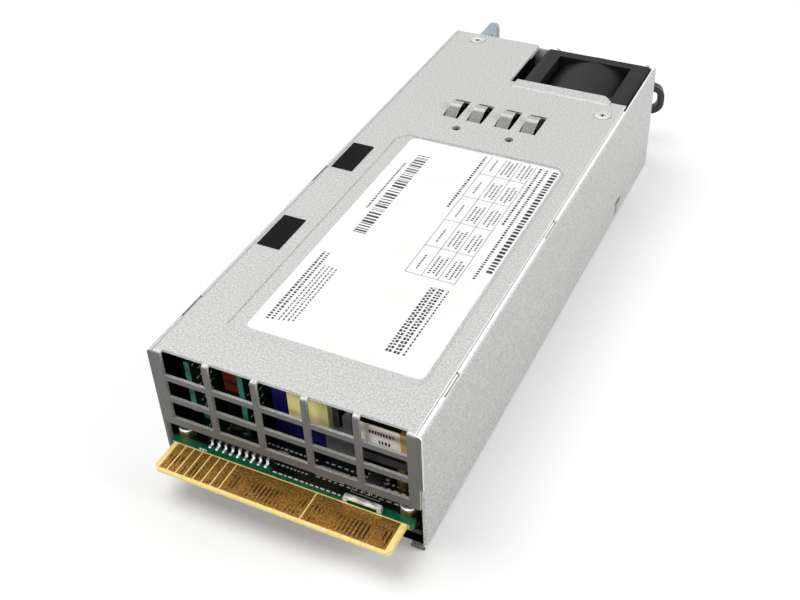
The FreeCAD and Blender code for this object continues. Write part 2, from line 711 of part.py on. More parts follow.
def make_fan_guard():
    """Finger guard of welded wire: four rings on two crossed wires that end in screw eyes."""
    wire = "wire_radius"
    crossed = (PANEL_END, f"{PANEL_END} + 2 * {wire}")
    rings_at = (f"{PANEL_END} + 1.4 * {wire}", f"{PANEL_END} + 3.4 * {wire}")
    pieces = []
    for share in (0.28, 0.51, 0.74, 0.96):
        radii = (f"duct_radius * {share} + {wire}", f"duct_radius * {share} - {wire}")
        pieces.append(tube("y", 24, radii, "fan_across", "fan_height", rings_at))
    reach = "screw_spacing / 2 * sqrt(2) - 2.1"
    for turn in (45, 135):
        bar = doc.addObject("Part::Box", "crossed_wire")
        direction = Rotation(Vector(0, 1, 0), turn)
        bar.Placement.Rotation = direction
        corner = direction.multVec(Vector(-value(wire), 0, -value(reach)))
        bind(bar, {"Length": f"2 * {wire}", "Width": f"2 * {wire}", "Height": f"2 * ({reach})"})
        bind(bar, {"Placement.Base.x": f"fan_across + {corner.x}", "Placement.Base.y": PANEL_END,
                   "Placement.Base.z": f"fan_height + {corner.z}"})
        pieces.append(bar)
    pieces += [tube("y", 12, ("2.8", "1.6"), x, z, crossed) for x, z in fan_screw_places()]
    node(fused(pieces), "fan_guard")


def make_fan_screws():
    screws = []
    head_from = f"{PANEL_END} + 2 * wire_radius"
    slot_depth = (f"{head_from} + 0.8", f"{head_from} + 2")
    for x, z in fan_screw_places():
        head = prism("y", 16, "2.5", x, z, (head_from, f"{head_from} + 1.4"))
        shank = prism("y", 8, "1.5", x, z, (f"{PANEL_END} - 4", head_from))
        slot = block((f"{x} - 1.5", f"{x} + 1.5"), slot_depth, (f"{z} - 0.3", f"{z} + 0.3"))
        screws.append(cut(fused([head, shank]), [slot]))
    node(group(screws), "fan_screws")


# ---------------------------------------------------------------- inlet and lamp


def make_inlet():
    """Appliance inlet stood on end, so that its three blades lie with their wide faces upright."""
    body = new_body("inlet_housing")
    across = ("inlet_across - inlet_width / 2", "inlet_across + inlet_width / 2")
    up = ("fan_height - inlet_tall / 2", "fan_height + inlet_tall / 2")
    pad(body, "XZ", (f"{PANEL_END} - inlet_depth", PANEL_END), rectangle(across, up))
    flange = rectangle((f"{across[0]} - 0.7", f"{across[1]} + 0.7"), (f"{up[0]} - 1.1", f"{up[1]} + 1.1"))
    pad(body, "XZ", (PANEL_END, f"{PANEL_END} + 1.8"), flange)
    dress("Fillet", body, "1.5", straight_edge("y", y=[f"{PANEL_END} + 0.9"]))
    socket_across = ("inlet_across - socket_width / 2", "inlet_across + socket_width / 2")
    socket_up = ("fan_height - socket_tall / 2", "fan_height + socket_tall / 2")
    floor_of_socket = f"{PANEL_END} + 1.8 - socket_depth"
    pocket(body, "XZ", (floor_of_socket, f"{PANEL_END} + 3"), rectangle(socket_across, socket_up))
    dress("Fillet", body, "2", straight_edge("y", x=socket_across, z=socket_up))
    half_thick = "blade_thick / 2"
    half_wide = "blade_wide / 2"
    middles = [
        ("inlet_across - earth_offset / 2", "fan_height + line_spacing / 2"),
        ("inlet_across - earth_offset / 2", "fan_height - line_spacing / 2"),
        ("inlet_across + earth_offset / 2", "fan_height"),
    ]
    slots = []
    pins = []
    back = f"{PANEL_END} - inlet_depth"
    for x, z in middles:
        thick = (f"{x} - {half_thick}", f"{x} + {half_thick}")
        wide = (f"{z} - {half_wide}", f"{z} + {half_wide}")
        slots.append(rectangle(thick, wide))
        blade = block(thick, (back, f"{floor_of_socket} + 17"), wide)
        terminal = block((f"{x} - 0.4", f"{x} + 0.4"), (f"{back} - 7", back), (f"{z} - 3.1", f"{z} + 3.1"))
        pins.append(fused([blade, terminal]))
    pocket(body, "XZ", (f"{back} - 1", f"{floor_of_socket} + 0.5"), *slots)
    node(group(pins), "inlet_pins")
    lamp = fused([prism("y", 16, "1.25", "-33", "34.6", (f"{PANEL_END} - 8", f"{PANEL_END} + 0.4")),
                  cone("y", ("1.15", "0.6"), "-33", "34.6", (f"{PANEL_END} + 0.4", f"{PANEL_END} + 0.9"))])
    node(lamp, "status_lamp")


# ---------------------------------------------------------------- pull handle


def make_handle():
    """Loop that swings on an upright pin, its bracket on the panel and the two rivets."""
    loop = new_body("pull_handle")
    half = "handle_height / 2"
    thick = ("-handle_width / 2", "handle_width / 2")
    pad(loop, "XZ", thick, rectangle(("0", "handle_length"), (f"-{half}", half)))
    dress("Fillet", loop, "4.2", straight_edge("y", x=["handle_length"]))
    inner_up = (f"-{half} + handle_band", f"{half} - handle_band")
    inner = rectangle(("2.6", "handle_length - handle_band"), inner_up)
    pocket(loop, "XZ", ("-handle_width", "handle_width"), inner)
    dress("Fillet", loop, "1.9", straight_edge("y", x=["handle_length - handle_band"]))
    outer_rim = straight_edge("x", z=[half, f"-{half}"])
    dress("Chamfer", loop, "0.8", outer_rim)
    pad(loop, "XY", (f"-{half}", half), disc("0", "0", "2.2"))
    pocket(loop, "XY", (f"-{half} - 1", f"{half} + 1"), disc("0", "0", "pivot_radius + 0.06"))
    place(loop, "pivot_across", f"{PANEL_END} + pivot_out", "handle_level", turn="handle_angle")

    bracket = new_body("handle_bracket")
    across = ("pivot_across - 1.75", "pivot_across + 1.75")
    foot_up = ("handle_level - 10.5", "handle_level + 10.5")
    pad(bracket, "XZ", (PANEL_END, f"{PANEL_END} + steel"), rectangle(across, foot_up))
    ear_reach = f"{PANEL_END} + pivot_out + 1.8"
    for side in (-1, 1):
        faces = [f"handle_level + {side} * ({half} + {beyond})" for beyond in (0.4, 1.2)]
        pad(bracket, "XY", sorted(faces, key=value), rectangle(across, (PANEL_END, ear_reach)))
    pin_hole = disc("pivot_across", f"{PANEL_END} + pivot_out", "pivot_radius")
    pocket(bracket, "XY", ("0", "case_height"), pin_hole)
    rivet_holes = [polygon("pivot_across", f"handle_level {offset}", "1") for offset in ("- 8.7", "+ 8.7")]
    pocket(bracket, "XZ", (f"{PANEL_END} - 1", f"{PANEL_END} + 1"), *rivet_holes)
    dress("Fillet", bracket, "1.2", straight_edge("z", y=[ear_reach]))

    pivot = rod("z", "pivot_radius", "pivot_across", f"{PANEL_END} + pivot_out",
                (f"handle_level - {half} - 1.4", f"handle_level + {half} + 1.4"))
    node(pivot, "handle_pin")
    rivets = []
    for offset in ("- 8.7", "+ 8.7"):
        middle = ("pivot_across", f"handle_level {offset}")
        shank = prism("y", 8, "1", *middle, (f"{PANEL_END} - 1.2", f"{PANEL_END} + 1.2"))
        head = prism("y", 16, "1.7", *middle, (f"{PANEL_END} + steel", f"{PANEL_END} + 1.4"))
        rivets.append(fused([shank, head]))
    node(group(rivets), "bracket_rivets")


# ---------------------------------------------------------------- latch


def make_latch():
    """Leaf spring inside the left wall, its wedge catch, and the tab that the thumb presses."""
    outer = f"-({WALL}) + 0.1"
    inner = f"-({WALL}) + 0.1 + steel"
    arm = new_body("latch_spring")
    up = ("latch_bottom", "latch_top")
    pad(arm, "YZ", (outer, inner), rectangle(("latch_root + 0.1", "latch_reach"), up))
    tip = f"-{SIDE} - catch_out"
    wedge = [(outer, "catch_start"), (tip, "catch_peak"), (outer, "catch_peak + 0.7")]
    pad(arm, "XY", ("14.5", "24.5"), wedge)
    stud_places = [f"latch_reach - {back}" for back in ("4", "10")]
    through = (f"{outer} - 0.5", f"{inner} + 0.5")
    pocket(arm, "YZ", through, *[polygon(along, RIVET_LEVEL, "1.3") for along in stud_places])

    foot = new_body("latch_foot")
    pad(foot, "YZ", (outer, inner), rectangle(("latch_root - 12", "latch_root - 0.1"), up))
    pocket(foot, "YZ", through, *[polygon(along, RIVET_LEVEL, "1.2") for along in LATCH_RIVETS])

    rivets = []
    for along in LATCH_RIVETS:
        shank = prism("x", 8, "1.2", along, RIVET_LEVEL, (f"-{SIDE}", inner))
        head = prism("x", 16, "2.2", along, RIVET_LEVEL, (inner, f"{inner} + 0.8"))
        rivets.append(fused([shank, head]))
    node(group(rivets), "latch_rivets")

    tab = new_body("latch_tab")
    outline = rectangle((f"{PANEL_END} + 3", "tab_end"), ("tab_bottom", "tab_top"))
    pad(tab, "YZ", (inner, f"{inner} + tab_thick"), outline)
    dress("Fillet", tab, "5", straight_edge("x", y=["tab_end"]))
    dress("Fillet", tab, "1", straight_edge("x", y=[f"{PANEL_END} + 3"]))
    for along in stud_places:
        pad(tab, "YZ", (outer, inner), polygon(along, RIVET_LEVEL, "1.25"))


# ---------------------------------------------------------------- boards and contacts


def stud_holes(places, radius):
    return [polygon(x, y, radius) for x, y in places]


def make_boards():
    main = new_body("main_board")
    start = f"{CONNECTOR_END} + 1.2"
    pad(main, "XY", ("main_level", MAIN_TOP), rectangle(("-35.2", "35.2"), (start, "60")))
    holes = stud_holes(BOARD_STUDS + CARD_STUDS, "bore_radius")
    pocket(main, "XY", ("main_level - 1", f"{MAIN_TOP} + 1"), *holes)

    film = new_body("insulating_sheet")
    low = "steel + fan_gap"
    thick = "0.25"
    side = "35.75"
    inside = f"{side} - {thick}"
    half = [(side, low), (side, "10.5"), (inside, "10.5"), (inside, f"{low} + {thick}")]
    pad(film, "XZ", (start, "61"), mirrored(half))
    # beside the card and the output parts its side walls reach up to the cover
    tall = rectangle((start, "5"), (low, "36.5"))
    pad(film, "YZ", (inside, side), tall)
    pad(film, "YZ", (f"-{side}", f"-({inside})"), tall)
    pocket(film, "XY", ("0", "2"), *stud_holes(BOARD_STUDS, "3.2"))

    card = new_body("edge_card")
    half = [
        ("tongue_width / 2 - 1", f"{CONNECTOR_END} - tongue_reach"),
        ("tongue_width / 2", f"{CONNECTOR_END} - tongue_reach + 1"),
        ("tongue_width / 2", f"{CONNECTOR_END} - 1.6"),
        ("card_width / 2 - 0.8", f"{CONNECTOR_END} - 1.6"),
        ("card_width / 2", f"{CONNECTOR_END} - 0.8"),
        ("card_width / 2", "-58"),
    ]
    pad(card, "XY", ("card_level", CARD_TOP), mirrored(half))
    pocket(card, "XY", ("card_level - 1", f"{CARD_TOP} + 1"), *stud_holes(CARD_STUDS, "bore_radius"))
    leading = straight_edge("x", y=[f"{CONNECTOR_END} - tongue_reach"])
    dress("Chamfer", card, "0.4", leading)


def contact_pads(first, count, positions):
    """Gold pads on both faces of the tongue, each as wide as a number of contact positions."""
    pads = []
    start_of_row = "-12.5 * contact_pitch"
    along = (f"{CONNECTOR_END} - 2 - contact_length", f"{CONNECTOR_END} - 2")
    for index in range(count):
        low = f"{start_of_row} + {first + index * positions} * contact_pitch + contact_gap / 2"
        high = f"{start_of_row} + {first + (index + 1) * positions} * contact_pitch - contact_gap / 2"
        pads.append(block((low, high), along, (CARD_TOP, f"{CARD_TOP} + gold")))
        pads.append(block((low, high), along, ("card_level - gold", "card_level")))
    return group(pads)


def make_contacts():
    """Twenty-five positions: seven signals, then nine of supply and nine of return."""
    node(contact_pads(0, 7, 1), "signal_contacts")
    node(contact_pads(7, 2, 9), "power_contacts")


def make_studs():
    """Six-sided studs and spacers, and the screws that hold both boards down on them."""
    board_studs = []
    screws = []
    for x, y in BOARD_STUDS:
        pressed_in = prism("z", 6, "2.4", x, y, ("0", "steel"))
        standing = prism("z", 6, "2.9", x, y, ("steel", "main_level"))
        bore = prism("z", 8, "bore_radius", x, y, ("-1", "main_level + 1"))
        board_studs.append(cut(fused([pressed_in, standing]), [bore]))
        shank = prism("z", 8, "screw_radius", x, y, ("1", MAIN_TOP))
        screws.append(fused([shank, prism("z", 16, "2.3", x, y, (MAIN_TOP, f"{MAIN_TOP} + 1"))]))
    node(group(board_studs), "board_studs")

    spacers = []
    nut_top = f"{CARD_TOP} + 1.6"
    for x, y in CARD_STUDS:
        for radius, span in (("2.7", (MAIN_TOP, "card_level")), ("2.4", (CARD_TOP, nut_top))):
            bore = prism("z", 8, "bore_radius", x, y, span)
            spacers.append(cut(prism("z", 6, radius, x, y, span), [bore]))
        shank = prism("z", 8, "screw_radius", x, y, ("main_level + 0.2", nut_top))
        screws.append(fused([shank, prism("z", 16, "2.3", x, y, (nut_top, f"{nut_top} + 1"))]))
    node(group(spacers), "card_spacers")
    node(group(screws), "board_screws")


def make_card_parts():
    """What stands on the card just behind the grille."""
    header_across = ("-25", "-5.4")
    header = block(header_across, ("-90.4", "-88"), (CARD_TOP, f"{CARD_TOP} + 3.6"))
    node(header, "board_header")
    pins = []
    for index in range(9):
        x = f"-23.4 + {index} * header_pitch"
        across = (f"{x} - 0.35", f"{x} + 0.35")
        foot = block(across, ("-92.5", "-90.9"), (CARD_TOP, f"{CARD_TOP} + 0.3"))
        leg = block(across, ("-91.2", "-90.9"), (CARD_TOP, f"{CARD_TOP} + 1.4"))
        bend = block(across, ("-91.2", "-90.4"), (f"{CARD_TOP} + 1.1", f"{CARD_TOP} + 1.4"))
        pins.append(fused([foot, leg, bend]))
    node(group(pins), "header_pins")

    strap_low = f"{CARD_TOP} + 0.9"
    strap_top = f"{strap_low} + 0.9"
    along = ("-93.9", "-92.7")
    strap = fused([
        block(("15.6", "26"), along, (strap_low, strap_top)),
        block(("15.6", "16.8"), along, (CARD_TOP, strap_top)),
        block(("24.8", "26"), along, (CARD_TOP, strap_top)),
    ])
    node(strap, "current_strap")

    board_edge = [
        ("-87.6", f"{CARD_TOP} + 6"), ("-84", f"{CARD_TOP} + 6"), ("-84", CARD_TOP),
        ("-67", CARD_TOP), ("-67", "33"), ("-87.6", "33"),
    ]
    control = new_body("control_board")
    pad(control, "YZ", ("-30.6", "-29"), board_edge)
    node(block(("-17.4", "-15.8"), ("-84.7", "-62"), (CARD_TOP, "33")), "driver_board")
    red = block(("-26.4", "-21.6"), ("-79", "-65"), (CARD_TOP, "24"))
    node(red, "red_capacitor")
    navy = [
        block(("-10.9", "-5.6"), ("-80.2", "-63"), (CARD_TOP, "29")),
        block(("-5.4", "3.4"), ("-80.2", "-63"), (CARD_TOP, "20")),
    ]
    node(group(navy), "film_capacitors")
    cores = [
        fused([block(("-4", "7.3"), ("-81.5", "-68"), ("34", "36.6")),
               block(("7.3", "9"), ("-81.5", "-68"), ("20.1", "36.6"))]),
        cut(block(("14.8", "31.4"), ("-85.5", "-72"), ("17.5", "35")),
            [block(("17.5", "28.8"), ("-86", "-71"), ("20", "32.4"))]),
    ]
    node(group(cores), "output_cores")
    node(block(("-4", "7.3"), ("-83.5", "-66"), ("20.1", "34")), "output_winding")
    node(block(("17.5", "28.8"), ("-87.5", "-70"), ("24.6", "32.4")), "auxiliary_winding")

    sink = new_body("output_heatsink")
    profile = [
        ("4.2", CARD_TOP), ("13.6", CARD_TOP), ("13.6", "30"),
        ("9.6", "24"), ("9.6", "20.1"), ("4.2", "20.1"),
    ]
    pad(sink, "XZ", ("-81", "-64"), profile)
    # shelf under the auxiliary core
    pad(sink, "XZ", ("-81", "-72"), rectangle(("13.5", "24"), ("16.2", "17.5")))
    terminal = prism("z", 20, "1.7", "27", "-83.4", (CARD_TOP, "17.5"))
    node(terminal, "return_terminal")


# ---------------------------------------------------------------- power parts inside


def toroid(axis, centre, span, core_radii, coil_radius, gap):
    """A toroid core and its coil, which wraps it all round except for one gap."""
    outer, inner = core_radii
    low, high = span
    core = tube(axis, 24, (outer, inner), *centre, span)
    coil_span = (f"{low} - 0.9", f"{high} + 0.9")
    coil = cut(tube(axis, 24, (coil_radius, outer), *centre, coil_span), [gap])
    return core, coil


def make_power_parts():
    cans = [prism("y", 32, "12.4", x, f"{MAIN_TOP} + 12.4", ("-4", "40")) for x in ("-20.4", "5.2")]
    node(group(cans), "bulk_capacitors")

    boost_gap = block(("18", "35"), ("0", "33"), ("3", "16"))
    boost_centre = ("16", f"{MAIN_TOP} + 13.5")
    boost_core, boost_coil = toroid("x", boost_centre, ("22", "31"), ("13.5", "6.5"), "15", boost_gap)
    filter_gap = block(("-20.5", "-15.5"), ("40", "58"), ("17", "30"))
    filter_centre = ("-18", f"{MAIN_TOP} + 11")
    filter_core, filter_coil = toroid("y", filter_centre, ("45", "53"), ("9.5", "5"), "11", filter_gap)
    node(group([boost_core, filter_core]), "choke_cores")
    node(group([boost_coil, filter_coil]), "choke_coils")

    node(group([block(("-33.4", "-29.8"), ("41", "51"), (MAIN_TOP, "20")),
                block(("-4.6", "3.4"), ("44", "57"), (MAIN_TOP, "21"))]), "line_capacitors")
    node(block(("6", "18"), ("43", "58"), (MAIN_TOP, "21")), "inrush_relay")
    fuse_middle = ("24", f"{MAIN_TOP} + 2.6")
    caps = [prism("y", 16, "2.6", *fuse_middle, span) for span in (("40", "45"), ("53", "58"))]
    node(fused([prism("y", 16, "2.4", *fuse_middle, ("44.9", "53.1")), *caps]), "line_fuse")

    window = block(("-10", "14"), ("-51", "-19"), ("10.2", "30.4"))
    node(cut(block(("-15", "19"), ("-50", "-20"), (MAIN_TOP, "35")), [window]), "main_core")
    node(block(("-10", "14"), ("-53", "-17"), ("10.2", "30.4")), "main_winding")

    fins = [block(("24", "27"), ("-54", "-8"), (MAIN_TOP, "34"))]
    for level in ("26", "29.4", "32.8"):
        fins.append(block(("26.9", "33.6"), ("-54", "-8"), (level, f"{level} + 1.2")))
    node(fused(fins), "primary_heatsink")
    transistors = [block(("27", "31.8"), (along, f"{along} + 12"), ("8.5", "24.5"))
                   for along in ("-52", "-37", "-22")]
    node(group(transistors), "power_transistors")
    node(block(("-33.6", "-28.6"), ("-46", "-24"), (MAIN_TOP, "26")), "bridge_rectifier")


def bent_strip(name, thick, width, sideways, start, corner, end):
    """A flat strip that runs along Y from its start to the corner, bends over and drops to its end."""
    body = doc.addObject("PartDesign::Body", name)
    along, level = start
    under = f"{level} - {thick}"
    far = f"{corner} - {thick} / 2"
    near = f"{corner} + {thick} / 2"
    profile = [(along, level), (far, level), (far, end), (near, end), (near, under), (along, under)]
    pad(body, "YZ", (f"{sideways} - {width} / 2", f"{sideways} + {width} / 2"), profile)
    outer_bend = "1.6"
    dress("Fillet", body, outer_bend, straight_edge("x", y=[far], z=[level]))
    dress("Fillet", body, f"{outer_bend} - {thick}", straight_edge("x", y=[near], z=[under]))
    return body


def make_leads():
    """Copper links from the inlet's terminals and the fan's flat lead, down to the main board."""
    terminal_end = f"{PANEL_END} - inlet_depth - 7"
    line_x = "inlet_across - earth_offset / 2"
    earth_x = "inlet_across + earth_offset / 2"
    live = "fan_height + line_spacing / 2"
    neutral = "fan_height - line_spacing / 2"
    close_by = f"{terminal_end} - 2"
    beyond_neutral = f"{terminal_end} - 4.4"
    links = [
        bent_strip("live_link", "0.8", "3", line_x, (terminal_end, live), beyond_neutral, MAIN_TOP),
        bent_strip("neutral_link", "0.8", "3", line_x, (terminal_end, neutral), close_by, MAIN_TOP),
        bent_strip("earth_link", "0.8", "3", earth_x, (terminal_end, "fan_height"), close_by, MAIN_TOP),
    ]
    node(group(links), "inlet_links")
    lead = bent_strip("fan_lead", "1.2", "4.8", "4.4", (FAN_INNER_END, "33.6"), "58.7", MAIN_TOP)
    node(lead, "fan_lead")


def check_document():
    """Stop if any object failed to build or any piece is empty or invalid."""
    doc.recompute()
    for item in doc.Objects:
        if {"Invalid", "Error"} & set(item.State):
            raise ValueError(f"{item.Name} ({item.Label}) did not build: {item.State}")
    for piece in NODES:
        if piece.Shape.isNull() or not piece.Shape.isValid() or not piece.Shape.Solids:
            raise ValueError(f"{piece.Label} has no valid shape")


def export_nodes():
    os.makedirs("parts", exist_ok=True)
    for piece in NODES:
        piece.Shape.exportStep(f"parts/{piece.Label}.step")


make_chassis()
make_end_panel()
make_top_cover()
make_flathead_screws()
make_label_and_pads()
make_ground_spring("ground_spring_left", SPRING_WINDOWS[:2], SPRING_HOLES[0])
make_ground_spring("ground_spring_right", SPRING_WINDOWS[2:], SPRING_HOLES[1])
make_fan_frame()
make_fan_rotor()
make_fan_motor()
make_fan_guard()
make_fan_screws()
make_inlet()
make_handle()
make_latch()
make_boards()
make_contacts()
make_studs()
make_card_parts()
make_power_parts()
make_leads()
check_document()
export_nodes()
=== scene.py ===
"""Hot swap server power supply: finishes, fitted detail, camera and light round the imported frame.

Metres, in the frame's own axes: +X across, +Y from the card edge to the plug end, +Z up.
"""

import json
import math

import bpy
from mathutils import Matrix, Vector


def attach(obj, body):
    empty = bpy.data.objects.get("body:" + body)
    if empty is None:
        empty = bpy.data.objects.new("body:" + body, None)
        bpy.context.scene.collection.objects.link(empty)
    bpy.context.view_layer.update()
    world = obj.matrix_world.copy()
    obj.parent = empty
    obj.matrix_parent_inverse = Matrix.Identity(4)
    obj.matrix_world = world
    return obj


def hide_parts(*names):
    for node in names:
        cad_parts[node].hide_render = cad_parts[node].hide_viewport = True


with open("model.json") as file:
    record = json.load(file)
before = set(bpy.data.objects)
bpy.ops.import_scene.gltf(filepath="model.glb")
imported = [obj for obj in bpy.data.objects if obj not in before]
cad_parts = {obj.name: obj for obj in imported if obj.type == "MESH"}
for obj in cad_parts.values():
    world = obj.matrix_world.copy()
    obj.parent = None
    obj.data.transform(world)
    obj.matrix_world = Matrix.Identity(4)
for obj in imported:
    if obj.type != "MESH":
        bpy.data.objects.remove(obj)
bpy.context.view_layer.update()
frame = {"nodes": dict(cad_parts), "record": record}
bpy.ops.object.select_all(action="DESELECT")

MM = 0.001
CAD = frame["nodes"]
# sockets of a Mix node that is set to colour: its share, its two colours and its result
FAC, A, B, MIX = 0, 6, 7, 2

# ---------------------------------------------------------------- colour and shader nodes


def tone(code):
    """An sRGB hex colour in the linear values that shaders take."""
    channels = [int(code[start:start + 2], 16) / 255 for start in (1, 3, 5)]
    return (*[c / 12.92 if c <= 0.04045 else ((c + 0.055) / 1.055) ** 2.4 for c in channels], 1)


def add(owner, kind, inputs=None, **settings):
    """Add one shader node with its settings; each input is a value, or a socket to link from."""
    node = owner.node_tree.nodes.new("ShaderNode" + kind)
    for name, setting in settings.items():
        setattr(node, name, setting)
    for name, given in (inputs or {}).items():
        if isinstance(given, bpy.types.NodeSocket):
            owner.node_tree.links.new(given, node.inputs[name])
        else:
            node.inputs[name].default_value = given
    return node


def new_finish(name, **fixed):
    """A material on one Principled shader, whose fixed numbers sit on its own sockets."""
    material = bpy.data.materials.new(name)
    material.use_nodes = True
    for socket, amount in fixed.items():
        material.node_tree.nodes["Principled BSDF"].inputs[socket.replace("_", " ")].default_value = amount
    return material


def finish_with(material, **sources):
    """Link patterns to the shader's sockets."""
    shader = material.node_tree.nodes["Principled BSDF"]
    for socket, source in sources.items():
        material.node_tree.links.new(source, shader.inputs[socket.replace("_", " ")])


def blotches(material, size, detail=2, stretch=(1, 1, 1), low=0.35, high=0.65):
    """A cloudy pattern whose blotches are about as big as size, from 0 to 1."""
    place = add(material, "TexCoord").outputs["Object"]
    mapped = add(material, "Mapping", {"Vector": place, "Scale": stretch}).outputs[0]
    cloud = add(material, "TexNoise", {"Vector": mapped, "Scale": 1 / size, "Detail": detail}).outputs["Fac"]
    return add(material, "MapRange", {"Value": cloud, "From Min": low, "From Max": high}).outputs[0]


def past(material, axis, level, blur=0.05 * MM):
    """0 before a level along an axis and 1 after it."""
    place = add(material, "TexCoord").outputs["Object"]
    along = add(material, "SeparateXYZ", {"Vector": place}).outputs[axis]
    spread = {"Value": along, "From Min": level - blur, "From Max": level + blur}
    return add(material, "MapRange", spread).outputs[0]


def between(material, axis, low, high, blur=0.05 * MM):
    """1 between two levels along an axis and 0 outside them."""
    entered = past(material, axis, low, blur)
    left = past(material, axis, high, blur)
    return add(material, "Math", {0: entered, 1: left}, operation="SUBTRACT", use_clamp=True).outputs[0]


def facing(material, axis, sign):
    """1 on faces that point along an axis, or against it if sign is -1, and 0 on the rest."""
    normal = add(material, "NewGeometry").outputs["Normal"]
    along = add(material, "SeparateXYZ", {"Vector": normal}).outputs[axis]
    slanted, square_on = 0.55 * sign, 0.9 * sign
    return add(material, "MapRange", {"Value": along, "From Min": slanted, "From Max": square_on}).outputs[0]


# ---------------------------------------------------------------- finishes


def galvanised_steel():
    """Zinc coated sheet, skin passed: a matte light grey with fine crystal speckle and faint cloud.

    The seam's edges, the cut front and the turned foot carry a painted highlight. The grille's face is
    painted darker as shade; its cut edges keep the sheet's lighter grey.
    """
    seam_lips = (34.95 * MM, 36.3 * MM)
    seam_gap = (35.2 * MM, 35.42 * MM)
    under_top = 38.1 * MM
    right_wall = 36.3 * MM
    front_cut = (-93 * MM, -91.9 * MM)
    turned_foot = (0.3 * MM, 0.9 * MM)
    steel = new_finish("galvanised_sheet_steel", Roughness=0.48, Metallic=0.15)
    # the real crystals are near 0.3 mm; they are drawn at 0.5 mm, so that they show
    crystals = blotches(steel, 0.5 * MM, detail=5, low=0.3, high=0.7)
    cloud = blotches(steel, 7 * MM, detail=3)
    speckled = add(steel, "Mix", {FAC: crystals, A: tone("#A8A8A7"), B: tone("#E4E4E2")},
                   data_type="RGBA").outputs[MIX]
    share = add(steel, "Math", {0: cloud, 1: 0.3}, operation="MULTIPLY").outputs[0]
    sheet = add(steel, "Mix", {FAC: share, A: speckled, B: tone("#C8C7C5")}, data_type="RGBA").outputs[MIX]
    # painted highlight on both edges of the seam between the top and the right side
    seam = {0: between(steel, "X", *seam_lips), 1: between(steel, "X", *seam_gap)}
    lips = add(steel, "Math", seam, operation="SUBTRACT", use_clamp=True).outputs[0]
    bend = add(steel, "Math", {0: lips, 1: past(steel, "Z", under_top)}, operation="MULTIPLY").outputs[0]
    # painted highlight on the cut front and the turned foot of the right side
    cut_and_foot = {0: between(steel, "Y", *front_cut), 1: between(steel, "Z", *turned_foot)}
    low_edges = add(steel, "Math", cut_and_foot, operation="MAXIMUM").outputs[0]
    on_wall = past(steel, "X", right_wall)
    side_edges = add(steel, "Math", {0: low_edges, 1: on_wall}, operation="MULTIPLY").outputs[0]
    edges = add(steel, "Math", {0: bend, 1: side_edges}, operation="MAXIMUM").outputs[0]
    # the sheet with a painted highlight along those edges
    sheet_with_edge_highlight = add(steel, "Mix", {FAC: edges, A: sheet, B: tone("#F6F6F5")}, data_type="RGBA").outputs[MIX]
    # painted shade: the grille's front face, turned away from the lamps, is drawn a darker grey
    grille_shade = add(steel, "Mix", {FAC: crystals, A: tone("#5F5E5C"), B: tone("#706F6C")},
               data_type="RGBA").outputs[MIX]
    front = add(steel, "Math", {0: 1, 1: past(steel, "Y", front_cut[1])}, operation="SUBTRACT").outputs[0]
    grille = add(steel, "Math", {0: front, 1: facing(steel, "Y", -1)}, operation="MULTIPLY").outputs[0]
    colour = add(steel, "Mix", {FAC: grille, A: sheet_with_edge_highlight, B: grille_shade}, data_type="RGBA").outputs[MIX]
    rough = add(steel, "MapRange", {"Value": crystals, "To Min": 0.42, "To Max": 0.56}).outputs[0]
    relief = add(steel, "Bump", {"Height": crystals, "Distance": 0.004 * MM, "Strength": 1}).outputs[0]
    finish_with(steel, Base_Color=colour, Roughness=rough, Normal=relief)
    return steel


def circuit_card():
    """Glass laminate under green solder mask, bare and yellow along the tongue where the contacts are."""
    tongue_end = -94.1 * MM
    grille_back = -91.8 * MM
    marked_from = -93 * MM
    marked_across = (-5.2 * MM, 15 * MM)
    card = new_finish("fr4_card_with_green_mask", Roughness=0.32)
    # the glass threads are about 0.5 mm apart; the weave is drawn at 0.9 mm, so that it shows
    weave = blotches(card, 0.9 * MM, detail=1, stretch=(1, 0.3, 1))
    mask = add(card, "Mix", {FAC: weave, A: tone("#005238"), B: tone("#006A49")},
               data_type="RGBA").outputs[MIX]
    # painted shade: behind the grille, and under the marking between the header and the shunt, the mask is
    # painted black
    black = add(card, "Mix", {FAC: weave, A: tone("#020806"), B: tone("#04100C")},
                data_type="RGBA").outputs[MIX]
    marked = {0: between(card, "X", *marked_across), 1: past(card, "Y", marked_from)}
    patch = add(card, "Math", marked, operation="MULTIPLY").outputs[0]
    dark = add(card, "Math", {0: patch, 1: past(card, "Y", grille_back)}, operation="MAXIMUM").outputs[0]
    coated = add(card, "Mix", {FAC: dark, A: mask, B: black}, data_type="RGBA").outputs[MIX]
    laminate = add(card, "Mix", {FAC: weave, A: tone("#FFDF80"), B: tone("#FFF0A0")},
                   data_type="RGBA").outputs[MIX]
    behind = past(card, "Y", tongue_end)
    colour = add(card, "Mix", {FAC: behind, A: laminate, B: coated}, data_type="RGBA").outputs[MIX]
    relief = add(card, "Bump", {"Height": weave, "Distance": 0.006 * MM, "Strength": 1}).outputs[0]
    finish_with(card, Base_Color=colour, Normal=relief)
    return card


def upright_board():
    """Small green boards on edge: faces painted near black as shade inside the case, and a paler teal cut
    front edge.
    """
    board = new_finish("fr4_board_on_edge", Roughness=0.35)
    # as on the card, the weave is drawn coarser than it is
    weave = blotches(board, 0.9 * MM, detail=1)
    # painted shade: the masked faces are drawn near black
    face = add(board, "Mix", {FAC: weave, A: tone("#02231A"), B: tone("#063226")},
               data_type="RGBA").outputs[MIX]
    edge = add(board, "Mix", {FAC: weave, A: tone("#256B5B"), B: tone("#378774")},
               data_type="RGBA").outputs[MIX]
    colour = add(board, "Mix", {FAC: facing(board, "Y", -1), A: face, B: edge}, data_type="RGBA").outputs[MIX]
    relief = add(board, "Bump", {"Height": weave, "Distance": 0.006 * MM, "Strength": 1}).outputs[0]
    finish_with(board, Base_Color=colour, Normal=relief)
    return board


